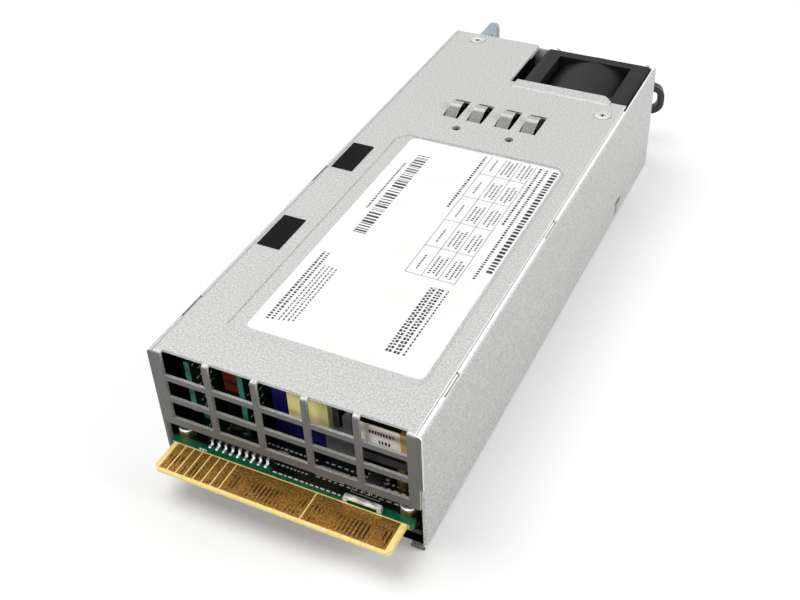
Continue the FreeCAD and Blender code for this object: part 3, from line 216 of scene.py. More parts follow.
def worn_gold_contact():
    """Gold flashed copper: brown gold with bright pits, and dark rows worn by a socket's springs."""
    rub_pitch = 1.1 * MM
    rub_reach = (-102.4 * MM, -97.6 * MM)
    gold = new_finish("gold_flashed_copper_contact", Roughness=0.4, Metallic=0.75)
    # the real pits are near 0.2 mm; they are drawn at 0.5 mm, so that they show
    pits = blotches(gold, 0.5 * MM, detail=4, low=0.38, high=0.64)
    wiped = blotches(gold, 1.6 * MM, detail=3, stretch=(1, 0.35, 1))
    plating = add(gold, "Mix", {FAC: pits, A: tone("#744B14"), B: tone("#BC8B44")},
                  data_type="RGBA").outputs[MIX]
    share = add(gold, "Math", {0: wiped, 1: 0.5}, operation="MULTIPLY").outputs[0]
    mottled = add(gold, "Mix", {FAC: share, A: plating, B: tone("#7E5C26")}, data_type="RGBA").outputs[MIX]
    # at scale 1 a wave texture repeats 20 times in tau metres
    place = add(gold, "TexCoord").outputs["Object"]
    waves = {"Vector": place, "Scale": math.tau / (20 * rub_pitch), "Distortion": 0.6, "Detail": 2}
    rubs = add(gold, "TexWave", waves, bands_direction="X").outputs["Fac"]
    lines = add(gold, "MapRange", {"Value": rubs, "From Min": 0.55, "From Max": 0.2}).outputs[0]
    reach = between(gold, "Y", *rub_reach, blur=0.6 * MM)
    worn = add(gold, "Math", {0: lines, 1: reach}, operation="MULTIPLY").outputs[0]
    patches = blotches(gold, 4 * MM, low=0.4, high=0.56)
    patchy = add(gold, "Math", {0: worn, 1: patches}, operation="MULTIPLY").outputs[0]
    colour = add(gold, "Mix", {FAC: patchy, A: mottled, B: tone("#33210A")}, data_type="RGBA").outputs[MIX]
    relief = add(gold, "Bump", {"Height": pits, "Distance": 0.02 * MM, "Strength": 1}).outputs[0]
    finish_with(gold, Base_Color=colour, Normal=relief)
    return gold


def moulded_plastic(name, dark, light, roughness=0.5, grit=0.35 * MM, depth=0.01 * MM, **more):
    """Injection moulded plastic: a slight haze of colour and the grain of a spark-eroded mould."""
    plastic = new_finish(name, Roughness=roughness, **more)
    grain = blotches(plastic, grit)
    haze = blotches(plastic, 9 * MM)
    colour = add(plastic, "Mix", {FAC: haze, A: tone(dark), B: tone(light)}, data_type="RGBA").outputs[MIX]
    relief = add(plastic, "Bump", {"Height": grain, "Distance": depth, "Strength": 1}).outputs[0]
    finish_with(plastic, Base_Color=colour, Normal=relief)
    return plastic


def plated_metal(name, dark, light, roughness, grit=0.25 * MM, recess_shade=None):
    """Metal with a plated or rolled surface: tarnish in patches, fine tool marks, and painted shade in any
    recess.
    """
    smoothest, roughest = roughness * 0.75, min(1, roughness * 1.35)
    recess = 1.2 * MM
    metal = new_finish(name, Roughness=roughness, Metallic=1)
    tarnish = blotches(metal, 2.5 * MM, detail=4)
    marks = blotches(metal, grit)
    colour = add(metal, "Mix", {FAC: tarnish, A: tone(dark), B: tone(light)}, data_type="RGBA").outputs[MIX]
    if recess_shade:
        # painted shade: where ambient occlusion finds a recess the colour turns to the given dark tone
        open_to_air = add(metal, "AmbientOcclusion", {"Distance": recess},
                          samples=6, only_local=True).outputs["AO"]
        clear = add(metal, "MapRange", {"Value": open_to_air, "From Min": 0.45, "From Max": 0.85}).outputs[0]
        colour = add(metal, "Mix", {FAC: clear, A: tone(recess_shade), B: colour}, data_type="RGBA").outputs[MIX]
    rough = add(metal, "MapRange", {"Value": marks, "To Min": smoothest, "To Max": roughest}).outputs[0]
    relief = add(metal, "Bump", {"Height": marks, "Distance": 0.004 * MM, "Strength": 1}).outputs[0]
    finish_with(metal, Base_Color=colour, Roughness=rough, Normal=relief)
    return metal


def dipped_resin():
    """Red epoxy dipped capacitor, pinched at its waist, whose foot is potted in black."""
    potting_top = 17.6 * MM
    pinch = (20.3 * MM, 20.9 * MM)
    resin = new_finish("red_dipped_epoxy", Roughness=0.3)
    runs = blotches(resin, 2 * MM, detail=2)
    red = add(resin, "Mix", {FAC: runs, A: tone("#5A180C"), B: tone("#74220F")},
              data_type="RGBA").outputs[MIX]
    coat = past(resin, "Z", potting_top, blur=0.3 * MM)
    waist = between(resin, "Z", *pinch, blur=0.15 * MM)
    shown = add(resin, "Math", {0: coat, 1: waist}, operation="SUBTRACT", use_clamp=True).outputs[0]
    colour = add(resin, "Mix", {FAC: shown, A: tone("#0C0807"), B: red}, data_type="RGBA").outputs[MIX]
    relief = add(resin, "Bump", {"Height": runs, "Distance": 0.05 * MM, "Strength": 1}).outputs[0]
    finish_with(resin, Base_Color=colour, Normal=relief)
    return resin


def winding_tape():
    """Yellow polyester tape round a winding: soft creases along it, and its upward faces painted near black
    as shade under the cover.
    """
    tape = new_finish("yellow_polyester_tape", Roughness=0.32)
    creases = blotches(tape, 2.2 * MM, detail=2, stretch=(1, 1, 0.2))
    yellow = add(tape, "Mix", {FAC: creases, A: tone("#F0E58C"), B: tone("#FFF6B0")},
                 data_type="RGBA").outputs[MIX]
    # painted shade: faces that point up are drawn near black
    colour = add(tape, "Mix", {FAC: facing(tape, "Z", 1), A: yellow, B: tone("#0C0B08")},
                 data_type="RGBA").outputs[MIX]
    relief = add(tape, "Bump", {"Height": creases, "Distance": 0.05 * MM, "Strength": 1}).outputs[0]
    finish_with(tape, Base_Color=colour, Normal=relief)
    return tape


def spring_sheet():
    """Rolled spring steel: mid grey with fine marks along the strip, and a painted highlight on each finger's
    crest.
    """
    steel = new_finish("rolled_spring_steel", Roughness=0.5, Metallic=0.3)
    marks = blotches(steel, 0.3 * MM, stretch=(1, 0.1, 1))
    strip = add(steel, "Mix", {FAC: marks, A: tone("#646463"), B: tone("#858583")},
                data_type="RGBA").outputs[MIX]
    crest_level = 40.05 * MM
    # painted highlight: above this level each finger's crest is drawn a lighter grey
    crest = past(steel, "Z", crest_level, blur=0.15 * MM)
    colour = add(steel, "Mix", {FAC: crest, A: strip, B: tone("#B4B4B2")}, data_type="RGBA").outputs[MIX]
    relief = add(steel, "Bump", {"Height": marks, "Distance": 0.006 * MM, "Strength": 1}).outputs[0]
    finish_with(steel, Base_Color=colour, Normal=relief)
    return steel


MATERIALS = {
    "galvanised_steel": galvanised_steel(),
    "nickel_screw": plated_metal("nickel_plated_screw_steel", "#CBCBC8", "#E8E8E6", 0.35, recess_shade="#232322"),
    "white_film": moulded_plastic("satin_polyester_label", "#F8F8F7", "#FBFBFB", 0.42, depth=0.003 * MM),
    "black_pad": moulded_plastic("black_foam_tape", "#0A0A0A", "#131312", 0.9, 0.3 * MM, 0.06 * MM,
                                Specular_IOR_Level=0.15),
    "spring_steel": spring_sheet(),
    "black_plastic": moulded_plastic("black_pbt", "#0B0B0C", "#141415", 0.5, Specular_IOR_Level=0.22),
    "fan_plastic": moulded_plastic("black_fan_pbt", "#080809", "#101011", 0.52, Specular_IOR_Level=0.2),
    "shaft_steel": plated_metal("ground_steel", "#9A9A98", "#C8C8C6", 0.3),
    "magnet": moulded_plastic("bonded_ferrite", "#1B1A1A", "#272626", 0.8),
    "copper_coil": plated_metal("enamelled_copper_wire", "#8A4A22", "#B86A33", 0.35),
    "guard_wire": plated_metal("nickel_plated_wire", "#B4B4B2", "#D9D9D6", 0.25),
    "black_screw": plated_metal("black_zinc_screw", "#1A1A1C", "#2A2A2C", 0.4),
    "pin_brass": plated_metal("nickel_plated_brass", "#B9B4A2", "#D8D4C4", 0.3),
    "lamp_lens": moulded_plastic("clear_lamp_lens", "#CFE6CF", "#DFF2DF", 0.12),
    "handle_plastic": moulded_plastic("black_nylon", "#232425", "#303132", 0.42),
    "bracket_steel": plated_metal("zinc_plated_steel", "#A9A9A4", "#CBCBC6", 0.42),
    # the real tab is clear enough that light soaks through it and its edges look pale
    "translucent_tab": moulded_plastic("pale_blue_polycarbonate", "#A9BCC6", "#BACAD2", 0.25,
                                       Transmission_Weight=0.35, IOR=1.585),
    "green_board": circuit_card(),
    "black_film": moulded_plastic("black_polyester_film", "#0B0B0C", "#131314", 0.35),
    "gold": worn_gold_contact(),
    "brass": plated_metal("turned_brass", "#9A7B46", "#C6A468", 0.32),
    "tin": plated_metal("tinned_copper", "#F0F0EE", "#FAFAF9", 0.5, 2 * MM),
    "red_capacitor": dipped_resin(),
    "navy_capacitor": moulded_plastic("navy_moulded_box", "#04044C", "#060664", 0.35),
    "ferrite": moulded_plastic("sintered_ferrite", "#18181A", "#242427", 0.6),
    "yellow_tape": winding_tape(),
    "heatsink": moulded_plastic("extruded_aluminium", "#4A4B4D", "#5E6062", 0.5),
    "capacitor_sleeve": moulded_plastic("dark_shrink_sleeve", "#0B0B1A", "#15152A", 0.25),
    "line_capacitor": moulded_plastic("yellow_moulded_box", "#B08F2A", "#C9A63A", 0.4),
    "ceramic": moulded_plastic("glazed_ceramic", "#D6D3C8", "#E6E3DA", 0.25),
    "lead_sleeve": moulded_plastic("red_silicone_lead", "#400C0A", "#5A1210", 0.5),
    "label_ink": moulded_plastic("black_label_ink", "#1C1C1E", "#2A2A2C", 0.6, depth=0.002 * MM),
    "white_ink": moulded_plastic("white_marking_ink", "#D8DCDA", "#EEF0EF", 0.6, depth=0.002 * MM),
    "black_epoxy": moulded_plastic("black_moulding_epoxy", "#131314", "#1E1E20", 0.55, 0.2 * MM),
    "paper_sticker": moulded_plastic("matt_paper_sticker", "#E6D8D3", "#EFE4DF", 0.6, 0.5 * MM, 0.004 * MM),
    "tan_tape": moulded_plastic("tan_cloth_tape", "#A98A4C", "#BF9F5C", 0.45, 0.5 * MM, 0.03 * MM),
    "upright_board": upright_board(),
}


def dress(node, material):
    """Give a CAD node its finish."""
    piece = CAD[node]
    piece.data.materials.clear()
    piece.data.materials.append(material)


for part in frame["record"]["subparts"]:
    dress(part["node"], MATERIALS[part["material_slot"]])

# these two stand on edge and show their cut fronts
for board in ("control_board", "driver_board"):
    dress(board, MATERIALS["upright_board"])

# ---------------------------------------------------------------- modelling by hand

NEAR = 0.01 * MM
ALONG_X = (0, math.radians(90), 0)
ALONG_Y = (math.radians(90), 0, 0)
SHARP = math.radians(35)


def choose(kind, test):
    """In edit mode, select only the vertices, edges or faces that pass a test."""
    mesh = bpy.context.object.data
    bpy.ops.mesh.select_mode(type=kind)
    bpy.ops.mesh.select_all(action="DESELECT")
    bpy.ops.object.mode_set(mode="OBJECT")
    for part in {"VERT": mesh.vertices, "EDGE": mesh.edges, "FACE": mesh.polygons}[kind]:
        part.select = test(part)
    bpy.ops.object.mode_set(mode="EDIT")


def ends(edge):
    """Where an edge of the active piece starts and stops."""
    points = bpy.context.object.data.vertices
    return [points[index].co for index in edge.vertices]


def run(edge, axis):
    """How far an edge of the active piece goes along an axis."""
    start, stop = ends(edge)
    return abs(start[axis] - stop[axis])


def levels(axis):
    """The levels along an axis at which the active piece has vertices."""
    return sorted({round(point.co[axis], 7) for point in bpy.context.object.data.vertices})


def press(kind, **settings):
    """Add a modifier to the active piece and apply it."""
    modifier = bpy.context.object.modifiers.new(kind.lower(), kind)
    for name, setting in settings.items():
        setattr(modifier, name, setting)
    bpy.ops.object.modifier_apply(modifier=modifier.name)


def round_edges(width, segments=2):
    """Bevel the active piece's sharp edges."""
    press("BEVEL", width=width, segments=segments, limit_method="ANGLE", angle_limit=SHARP)


def narrow(kind, test, shares):
    """Draw in the parts of the active piece that pass a test, so that its sides slope."""
    bpy.ops.object.mode_set(mode="EDIT")
    choose(kind, test)
    bpy.ops.transform.resize(value=shares)
    bpy.ops.object.mode_set(mode="OBJECT")


def activate(piece):
    """Make a piece active, and the only one selected."""
    bpy.ops.object.select_all(action="DESELECT")
    piece.select_set(True)
    bpy.context.view_layer.objects.active = piece


def join(parts):
    """Join meshes into one, which is then the active piece."""
    activate(parts[0])
    for part in parts:
        part.select_set(True)
    bpy.ops.object.join()
    return bpy.context.object


def combine(piece, tool, operation):
    """Cut with, add or keep what is shared with another closed mesh, which is then thrown away."""
    activate(piece)
    press("BOOLEAN", object=tool, operation=operation, solver="EXACT", use_self=True)
    bpy.data.objects.remove(tool)


def copies(piece, places):
    """Copies of a piece with their own meshes, one moved to each place, and the piece itself at the first."""
    made = [piece]
    for _ in places[1:]:
        copy = piece.copy()
        copy.data = piece.data.copy()
        bpy.context.scene.collection.objects.link(copy)
        made.append(copy)
    for copy, place in zip(made, places):
        copy.location = place
    return made


def slab(x, y, z):
    """A box between two levels along each axis, active and in object mode."""
    bpy.ops.object.select_all(action="DESELECT")
    bpy.ops.mesh.primitive_cube_add(size=1, location=[sum(span) / 2 for span in (x, y, z)])
    box = bpy.context.object
    box.scale = [span[1] - span[0] for span in (x, y, z)]
    bpy.ops.object.transform_apply(location=True, rotation=True, scale=True)
    return box


def drum(radius, span, rotation=(0, 0, 0), centre=(0, 0, 0), sides=48):
    """A cylinder round an axis through a centre, active and in object mode."""
    bpy.ops.object.select_all(action="DESELECT")
    bpy.ops.mesh.primitive_cylinder_add(vertices=sides, radius=radius, depth=span,
                                        location=centre, rotation=rotation)
    bpy.ops.object.transform_apply(location=True, rotation=True, scale=True)
    return bpy.context.object


def settle(name, material, body, *replaced, smooth=30):
    """Name the active piece, put its place in its mesh, finish it and let it ride on its body."""
    piece = bpy.context.object
    bpy.ops.object.transform_apply(location=True, rotation=True, scale=True)
    bpy.ops.object.shade_smooth_by_angle(angle=math.radians(smooth))
    piece.name = name
    piece.data.materials.clear()
    piece.data.materials.append(material)
    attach(piece, body)
    if replaced:
        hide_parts(*replaced)
    piece.select_set(False)


# ---------------------------------------------------------------- fan guard and rotor

FAN = Vector((16.9 * MM, 0, 19.85 * MM))
DUCT_RADIUS = 18 * MM
SCREW_REACH = 16 * MM
CORNERS = [(side, level) for side in (-1, 1) for level in (-1, 1)]


def make_guard():
    """Finger guard of round wire: rings welded on two crossed wires that end in screw eyes."""
    wire = 0.6 * MM
    cross_length = 41.2 * MM
    eye_radius = 2.2 * MM
    crossed_at = 93.1 * MM
    rings_at = 93.94 * MM
    parts = []
    for share in (0.28, 0.51, 0.74, 0.96):
        bpy.ops.mesh.primitive_torus_add(location=(0, rings_at, 0), rotation=ALONG_Y,
                                         major_segments=72, minor_segments=12,
                                         major_radius=DUCT_RADIUS * share, minor_radius=wire)
        parts.append(bpy.context.object)
    for turn in (45, 135):
        bpy.ops.mesh.primitive_cylinder_add(vertices=12, radius=wire, depth=cross_length,
                                            location=(0, crossed_at, 0), rotation=(0, math.radians(turn), 0))
        parts.append(bpy.context.object)
    for side, level in CORNERS:
        centre = (side * SCREW_REACH, crossed_at, level * SCREW_REACH)
        bpy.ops.mesh.primitive_torus_add(location=centre, rotation=ALONG_Y,
                                         major_segments=36, minor_segments=12,
                                         major_radius=eye_radius, minor_radius=wire)
        parts.append(bpy.context.object)
    guard = join(parts)
    # the welds run the wires together
    press("REMESH", mode="VOXEL", voxel_size=0.24 * MM)
    press("SMOOTH", factor=0.5, iterations=2)
    guard.location += FAN
    settle("guard_wires", MATERIALS["guard_wire"], "case", "fan_guard", smooth=60)


def make_rotor():
    """Hub cup with a dished face, and five thin blades that twist and curl from root to tip."""
    back, front = 66.65 * MM, 84.65 * MM
    cup_wall, cup_depth = 0.75 * MM, 16.8 * MM
    hub = drum(9.6 * MM, front - back, ALONG_Y, (0, (back + front) / 2, 0), 72)
    bpy.ops.object.mode_set(mode="EDIT")
    choose("FACE", lambda face: face.normal.y > 0.9)
    bpy.ops.mesh.inset(thickness=cup_wall)
    bpy.ops.mesh.extrude_region_move(TRANSFORM_OT_translate={"value": (0, -cup_depth, 0)})
    choose("FACE", lambda face: face.normal.y < -0.9)
    bpy.ops.mesh.inset(thickness=1.4 * MM)
    bpy.ops.mesh.inset(thickness=0.4 * MM, depth=-0.6 * MM)
    bpy.ops.object.mode_set(mode="OBJECT")
    round_edges(0.3 * MM, 3)
    # one blade stands up from the hub: a sheet, cambered along its chord and turned row by row
    middle = 75.15 * MM
    chord, height = 16.5 * MM, 11.4 * MM
    camber = 1.3 * MM
    root, reach = 7.4 * MM, 11 * MM
    root_pitch, twist = 44, 7
    bpy.ops.object.select_all(action="DESELECT")
    bpy.ops.mesh.primitive_grid_add(x_subdivisions=7, y_subdivisions=10, size=1,
                                    location=(0, middle, 13 * MM), rotation=ALONG_X)
    blade = bpy.context.object
    blade.scale = (height, chord, 1)
    bpy.ops.object.transform_apply(location=True, rotation=True, scale=True)
    bpy.ops.object.mode_set(mode="EDIT")
    for level in levels(1):
        share = (level - middle) / (chord / 2)
        choose("VERT", lambda point: abs(point.co.y - level) < NEAR)
        bpy.ops.transform.translate(value=(camber * (1 - share ** 2), 0, 0))
    for level in levels(2):
        pitch = root_pitch + twist * (level - root) / reach
        choose("VERT", lambda point: abs(point.co.z - level) < NEAR)
        bpy.ops.transform.rotate(value=math.radians(-pitch), orient_axis="Z",
                                 center_override=(0, middle, level))
    bpy.ops.object.mode_set(mode="OBJECT")
    press("SOLIDIFY", thickness=0.9 * MM, offset=0)
    # trimmed to the duct and to the hub
    combine(blade, drum(17.45 * MM, 30 * MM, ALONG_Y, (0, middle, 0), 96), "INTERSECT")
    combine(blade, drum(9.1 * MM, 32 * MM, ALONG_Y, (0, middle, 0), 96), "DIFFERENCE")
    round_edges(0.2 * MM)
    count, first_turn = 5, 18
    blades = copies(blade, [(0, 0, 0)] * count)
    for index, copy in enumerate(blades):
        copy.rotation_euler.y = math.radians(360 / count * index + first_turn)
    rotor = join([hub, *blades])
    rotor.location = FAN
    settle("rotor", MATERIALS["fan_plastic"], "fan", "fan_rotor")


# ---------------------------------------------------------------- screws


def make_screw(head_radius, under_radius, head_depth, shank_radius, length, dome=0):
    """A cross recess screw that hangs from the origin, where the top of its head is."""
    screw = drum(head_radius, head_depth, centre=(0, 0, -head_depth / 2), sides=40)
    bpy.ops.object.mode_set(mode="EDIT")
    choose("FACE", lambda face: face.normal.z < -0.9)
    taper = under_radius / head_radius
    bpy.ops.transform.resize(value=(taper, taper, 1))
    bpy.ops.mesh.inset(thickness=under_radius - shank_radius)
    bpy.ops.mesh.extrude_region_move(TRANSFORM_OT_translate={"value": (0, 0, head_depth - length)})
    if dome:
        choose("EDGE", lambda edge: all(abs(point.z) < NEAR for point in ends(edge)))
        bpy.ops.mesh.bevel(offset=dome, segments=5)
    bpy.ops.object.mode_set(mode="OBJECT")
    # the recess narrows as it goes down, as the driver's tip does
    reach = head_radius * 0.56
    wing = head_radius * 0.17
    down = (-head_depth * 0.9, 1 * MM)
    recess = join([slab((-reach, reach), (-wing, wing), down), slab((-wing, wing), (-reach, reach), down)])
    narrow("VERT", lambda point: point.co.z < 0, (0.55, 0.55, 1))
    combine(screw, recess, "DIFFERENCE")
    round_edges(0.05 * MM)
    return screw


def make_flat_screws():
    """Countersunk screws, two in the cover and two smaller ones up through the floor."""
    cover_top, floor_face = 38.95 * MM, 0.05 * MM
    cover_screw = make_screw(head_radius=2.65 * MM, under_radius=1.95 * MM, head_depth=0.78 * MM,
                             shank_radius=1.3 * MM, length=2.6 * MM)
    parts = copies(cover_screw, [(-26.5 * MM, 88.4 * MM, cover_top), (30.1 * MM, 55.4 * MM, cover_top)])
    floor_screw = make_screw(head_radius=2.2 * MM, under_radius=1.4 * MM, head_depth=0.78 * MM,
                             shank_radius=1.3 * MM, length=2.1 * MM)
    floor_screw.rotation_euler.x = math.radians(180)
    parts += copies(floor_screw, [(-27 * MM, 88 * MM, floor_face), (-12 * MM, 88 * MM, floor_face)])
    join(parts)
    settle("cover_and_floor_screws", MATERIALS["nickel_screw"], "case", "flathead_screws")


def make_pan_screws():
    """Pan head screws on both boards and, in black, in the fan guard's eyes."""
    board_top, nut_top = 6.6 * MM, 12.6 * MM
    across = 31.5 * MM
    guard_face = 94.7 * MM
    pan_head = {"head_radius": 2.3 * MM, "under_radius": 2.2 * MM, "head_depth": 1 * MM}
    places = [(side * across, along * MM, board_top) for side in (-1, 1) for along in (-79, -12, 54)]
    places += [(side * across, along * MM, nut_top) for side in (-1, 1) for along in (-89.9, -64)]
    board_screw = make_screw(**pan_head, shank_radius=1.25 * MM, length=3.6 * MM, dome=0.55 * MM)
    join(copies(board_screw, places))
    settle("pan_head_board_screws", MATERIALS["nickel_screw"], "case", "board_screws")
    guard_screw = make_screw(**pan_head, shank_radius=1.5 * MM, length=4.8 * MM, dome=0.6 * MM)
    guard_screw.rotation_euler.x = math.radians(-90)
    places = [(FAN.x + side * SCREW_REACH, guard_face, FAN.z + level * SCREW_REACH)
              for side, level in CORNERS]
    join(copies(guard_screw, places))
    settle("guard_screws", MATERIALS["black_screw"], "case", "fan_screws")


# ---------------------------------------------------------------- handle, tab and shunt


def make_handle():
    """Moulded D loop: a rounded band with a finger groove, and a barrel on the upright pin."""
    half = 5.75 * MM
    length = 42.4 * MM
    thick = 1.75 * MM
    band = 2.4 * MM
    corner = 4.6 * MM
    barrel_radius, bore = 2.2 * MM, 1.06 * MM

    def at_corner(edge):
        return all(point.x > length - NEAR for point in ends(edge)) and run(edge, 2) < NEAR

    def on_rim(face):
        """The outside of the band, with its round corners and without the side that the barrel is on."""
        normal, centre = face.normal, face.center
        straight = abs(centre.z) > half - NEAR or centre.x > length - NEAR
        curved = centre.x > length - corner and normal.x > 0 and abs(normal.x * normal.z) > 0.01
        return abs(normal.y) < 0.1 and centre.x > NEAR and (straight or curved)

    loop = slab((0, length), (-thick, thick), (-half, half))
    bpy.ops.object.mode_set(mode="EDIT")
    choose("EDGE", at_corner)
    bpy.ops.mesh.bevel(offset=corner, segments=8)
    choose("FACE", lambda face: abs(face.normal.y) > 0.9)
    bpy.ops.mesh.inset(thickness=band)
    bpy.ops.mesh.bridge_edge_loops()
    # a shallow groove runs round the outside of the band
    choose("FACE", on_rim)
    bpy.ops.mesh.inset(thickness=0.9 * MM, use_even_offset=True)
    bpy.ops.transform.resize(value=(0.992, 1, 0.94), center_override=(length / 2, 0, 0))
    bpy.ops.object.mode_set(mode="OBJECT")
    round_edges(0.5 * MM, 3)
    barrel = drum(barrel_radius, 2 * half, sides=40)
    round_edges(0.3 * MM)
    combine(loop, barrel, "UNION")
    combine(loop, drum(bore, 4 * half, sides=32), "DIFFERENCE")
    loop.location = (-3.2 * MM, 97 * MM, 16.5 * MM)
    loop.rotation_euler.z = math.radians(21.4)
    settle("handle_loop", MATERIALS["handle_plastic"], "handle", "pull_handle")


def make_tab():
    """Clear press tab: grip ridges in a hollow on the thumb's side, and two studs in the spring's holes."""
    outer, face, inner = -35.85 * MM, -35.05 * MM, -32.85 * MM
    near, far = 95.5 * MM, 125.5 * MM
    middle = 19.5 * MM
    across = 1 * MM
    tab = slab((face, inner), (near, far), (9.4 * MM, 29.4 * MM))
    bpy.ops.object.mode_set(mode="EDIT")
    choose("EDGE", lambda edge: all(point.y > far - NEAR for point in ends(edge)) and run(edge, 0) > across)
    bpy.ops.mesh.bevel(offset=5 * MM, segments=8)
    # the thumb's side is a little hollow
    choose("FACE", lambda side: side.normal.x > 0.9)
    bpy.ops.mesh.inset(thickness=1.6 * MM)
    bpy.ops.mesh.inset(thickness=0.5 * MM, depth=-0.5 * MM)
    choose("EDGE", lambda edge: all(point.y < near + NEAR for point in ends(edge)) and run(edge, 0) > across)
    bpy.ops.mesh.bevel(offset=1 * MM, segments=3)
    bpy.ops.object.mode_set(mode="OBJECT")
    round_edges(0.3 * MM)
    ridge = join([slab((-34.2 * MM, -33.1 * MM), (along * MM, (along + 0.9) * MM), (13 * MM, 25.8 * MM))
                  for along in (111, 113.4, 115.8, 118.2)])
    round_edges(0.3 * MM)
    studs = []
    for along in (100, 106):
        centre = ((face + outer) / 2, along * MM, middle)
        studs.append(drum(1.2 * MM, face - outer, ALONG_X, centre, 24))
        round_edges(0.15 * MM)
    join([tab, ridge, *studs])
    settle("press_tab", MATERIALS["translucent_tab"], "latch", "latch_tab")


def make_shunt():
    """Tinned shunt bar of thick strip, with rounded shoulders, bent down into the card at both ends."""
    left, right = 15.6 * MM, 26 * MM
    top = 11.8 * MM
    leg_width = 1.2 * MM
    depth = (-93.9 * MM, -92.7 * MM)
    bar = slab((left, right), depth, (10.9 * MM, top))
    for low in (left, right - leg_width):
        leg = slab((low, low + leg_width), depth, (10 * MM, 11.2 * MM))
        combine(bar, leg, "UNION")
    bpy.ops.object.mode_set(mode="EDIT")
    choose("EDGE", lambda edge: all(point.z > top - NEAR for point in ends(edge)) and run(edge, 0) < NEAR)
    bpy.ops.mesh.bevel(offset=0.85 * MM, segments=5)
    bpy.ops.object.mode_set(mode="OBJECT")
    round_edges(0.36 * MM, 4)
    settle("shunt_bar", MATERIALS["tin"], "case", "current_strap")


# ---------------------------------------------------------------- print, tape and small parts

CARD_TOP = 10 * MM


def bars(spans):
    """Copies of one small box, each stretched between its levels along the three axes and joined."""
    box = slab((-0.5, 0.5), (-0.5, 0.5), (-0.5, 0.5))
    made = copies(box, [[sum(levels_of) / 2 for levels_of in span] for span in spans])
    for bar, span in zip(made, spans):
        bar.scale = [high - low for low, high in span]
    join(made)


def print_flat(spans, level, thick):
    """Flat print on a level face; spans are (x low, x high, y low, y high) in millimetres."""
    up = (level, level + thick)
    bars([((a * MM, b * MM), (c * MM, d * MM), up) for a, b, c, d in spans])


def dashes(start, end, step, fill, seed):
    """Lengths of print along a row, a little uneven, with gaps between them."""
    unevenness, draws = 0.5, 101
    gap = step * 0.45
    row = []
    at = start
    while at < end:
        seed = (seed * 37 + 11) % draws
        width = step * (fill + unevenness * seed / draws)
        row.append((at, min(at + width, end)))
        at += width + gap
    return row


def row_along_y(across, wide, *row):
    """Spans of a row of dashes that runs along Y; row is what dashes() takes."""
    return [(across, across + wide, low, high) for low, high in dashes(*row)]


def row_along_x(along, wide, *row):
    """Spans of a row of dashes that runs along X; row is what dashes() takes."""
    return [(low, high, along, along + wide) for low, high in dashes(*row)]


def bar_strip(across, wide, start, end, seed):
    """Spans of a strip of bars of uneven width and spacing, which encode nothing."""
    thinnest, thickest, draws = 0.2, 1, 97
    strip = []
    along = start
    while along < end:
        seed = (seed * 29 + 7) % draws
        width = thinnest + (thickest - thinnest) * seed / draws
        strip.append((across, across + wide, along, along + width))
        along += width + 0.35 + 0.6 * ((seed * 13) % draws) / draws
    return strip


def make_label_print():
    """Generic rating label: a ruled table, rows of dashes and a strip of bars, none of which is writing."""
    rule = 0.14
    rulings = (7.25, 11.95, 16.65, 21.45)
    crossings = (-40.1, -27.5, -14.9, -2.4, 10.1)
    table_end = 20
    cell = 11
    spans = [(across, across + rule, crossings[0], table_end) for across in rulings]
    spans += [(rulings[0], rulings[-1] + rule, along, along + rule) for along in crossings]
    # short rows in the table's cells, each set in a little further or less
    cell_rows = ((9.3, 2.4), (13, 1.6), (14.2, 2.2), (15.3, 1.4), (17.9, 2), (19.2, 1.2), (20.3, 2.6))
    for row, (across, inset) in enumerate(cell_rows):
        for column, start in enumerate(crossings):
            seed = row * 7 + column * 13 + 3
            spans += row_along_y(across, 0.5, start + inset, start + cell - inset, 0.75, 0.45, seed)
    # a bold row and two fine rows beyond the table, and one on its other side
    spans += row_along_y(26.9, 1.7, -32.4, 19, 1.25, 0.5, 29)
    for across, start, seed in ((22.7, -11, 5), (24.7, -36, 47), (5.2, -9, 12)):
        spans += row_along_y(across, 0.75, start, 19.4, 0.95, 0.45, seed)
    # a strip of bars with a fine row beside it
    spans += bar_strip(-13.6, 3.7, -29.6, 12.6, 17)
    spans += row_along_y(-15.6, 0.6, -18.2, 6.7, 0.8, 0.4, 3)
    # rows at the near end, on both sides; the first two on the left are larger and longer
    left_rows = ((-16.5, 0.8, -40.9), (-15.1, 0.7, -40.9), (-13.3, 0.4, -46.2), (-12.1, 0.4, -46.2),
                 (-10.9, 0.4, -46.2), (-9.7, 0.4, -46.2))
    for row, (across, wide, end) in enumerate(left_rows):
        spans += row_along_y(across, wide, -70.6 + 0.3 * row, end, 0.9, 0.5, row * 17 + 8)
    right_rows = ((16.3, 0.7), (17.2, 0.7), (18.5, 0.7), (19.4, 0.7), (21, 0.45))
    for row, (across, wide) in enumerate(right_rows):
        spans += row_along_y(across, wide, -69.6, -43.2, 1, 0.5, row * 19 + 2)
    label_top = 38.6 * MM
    print_flat(spans, label_top, 0.012 * MM)
    settle("label_print", MATERIALS["label_ink"], "case")


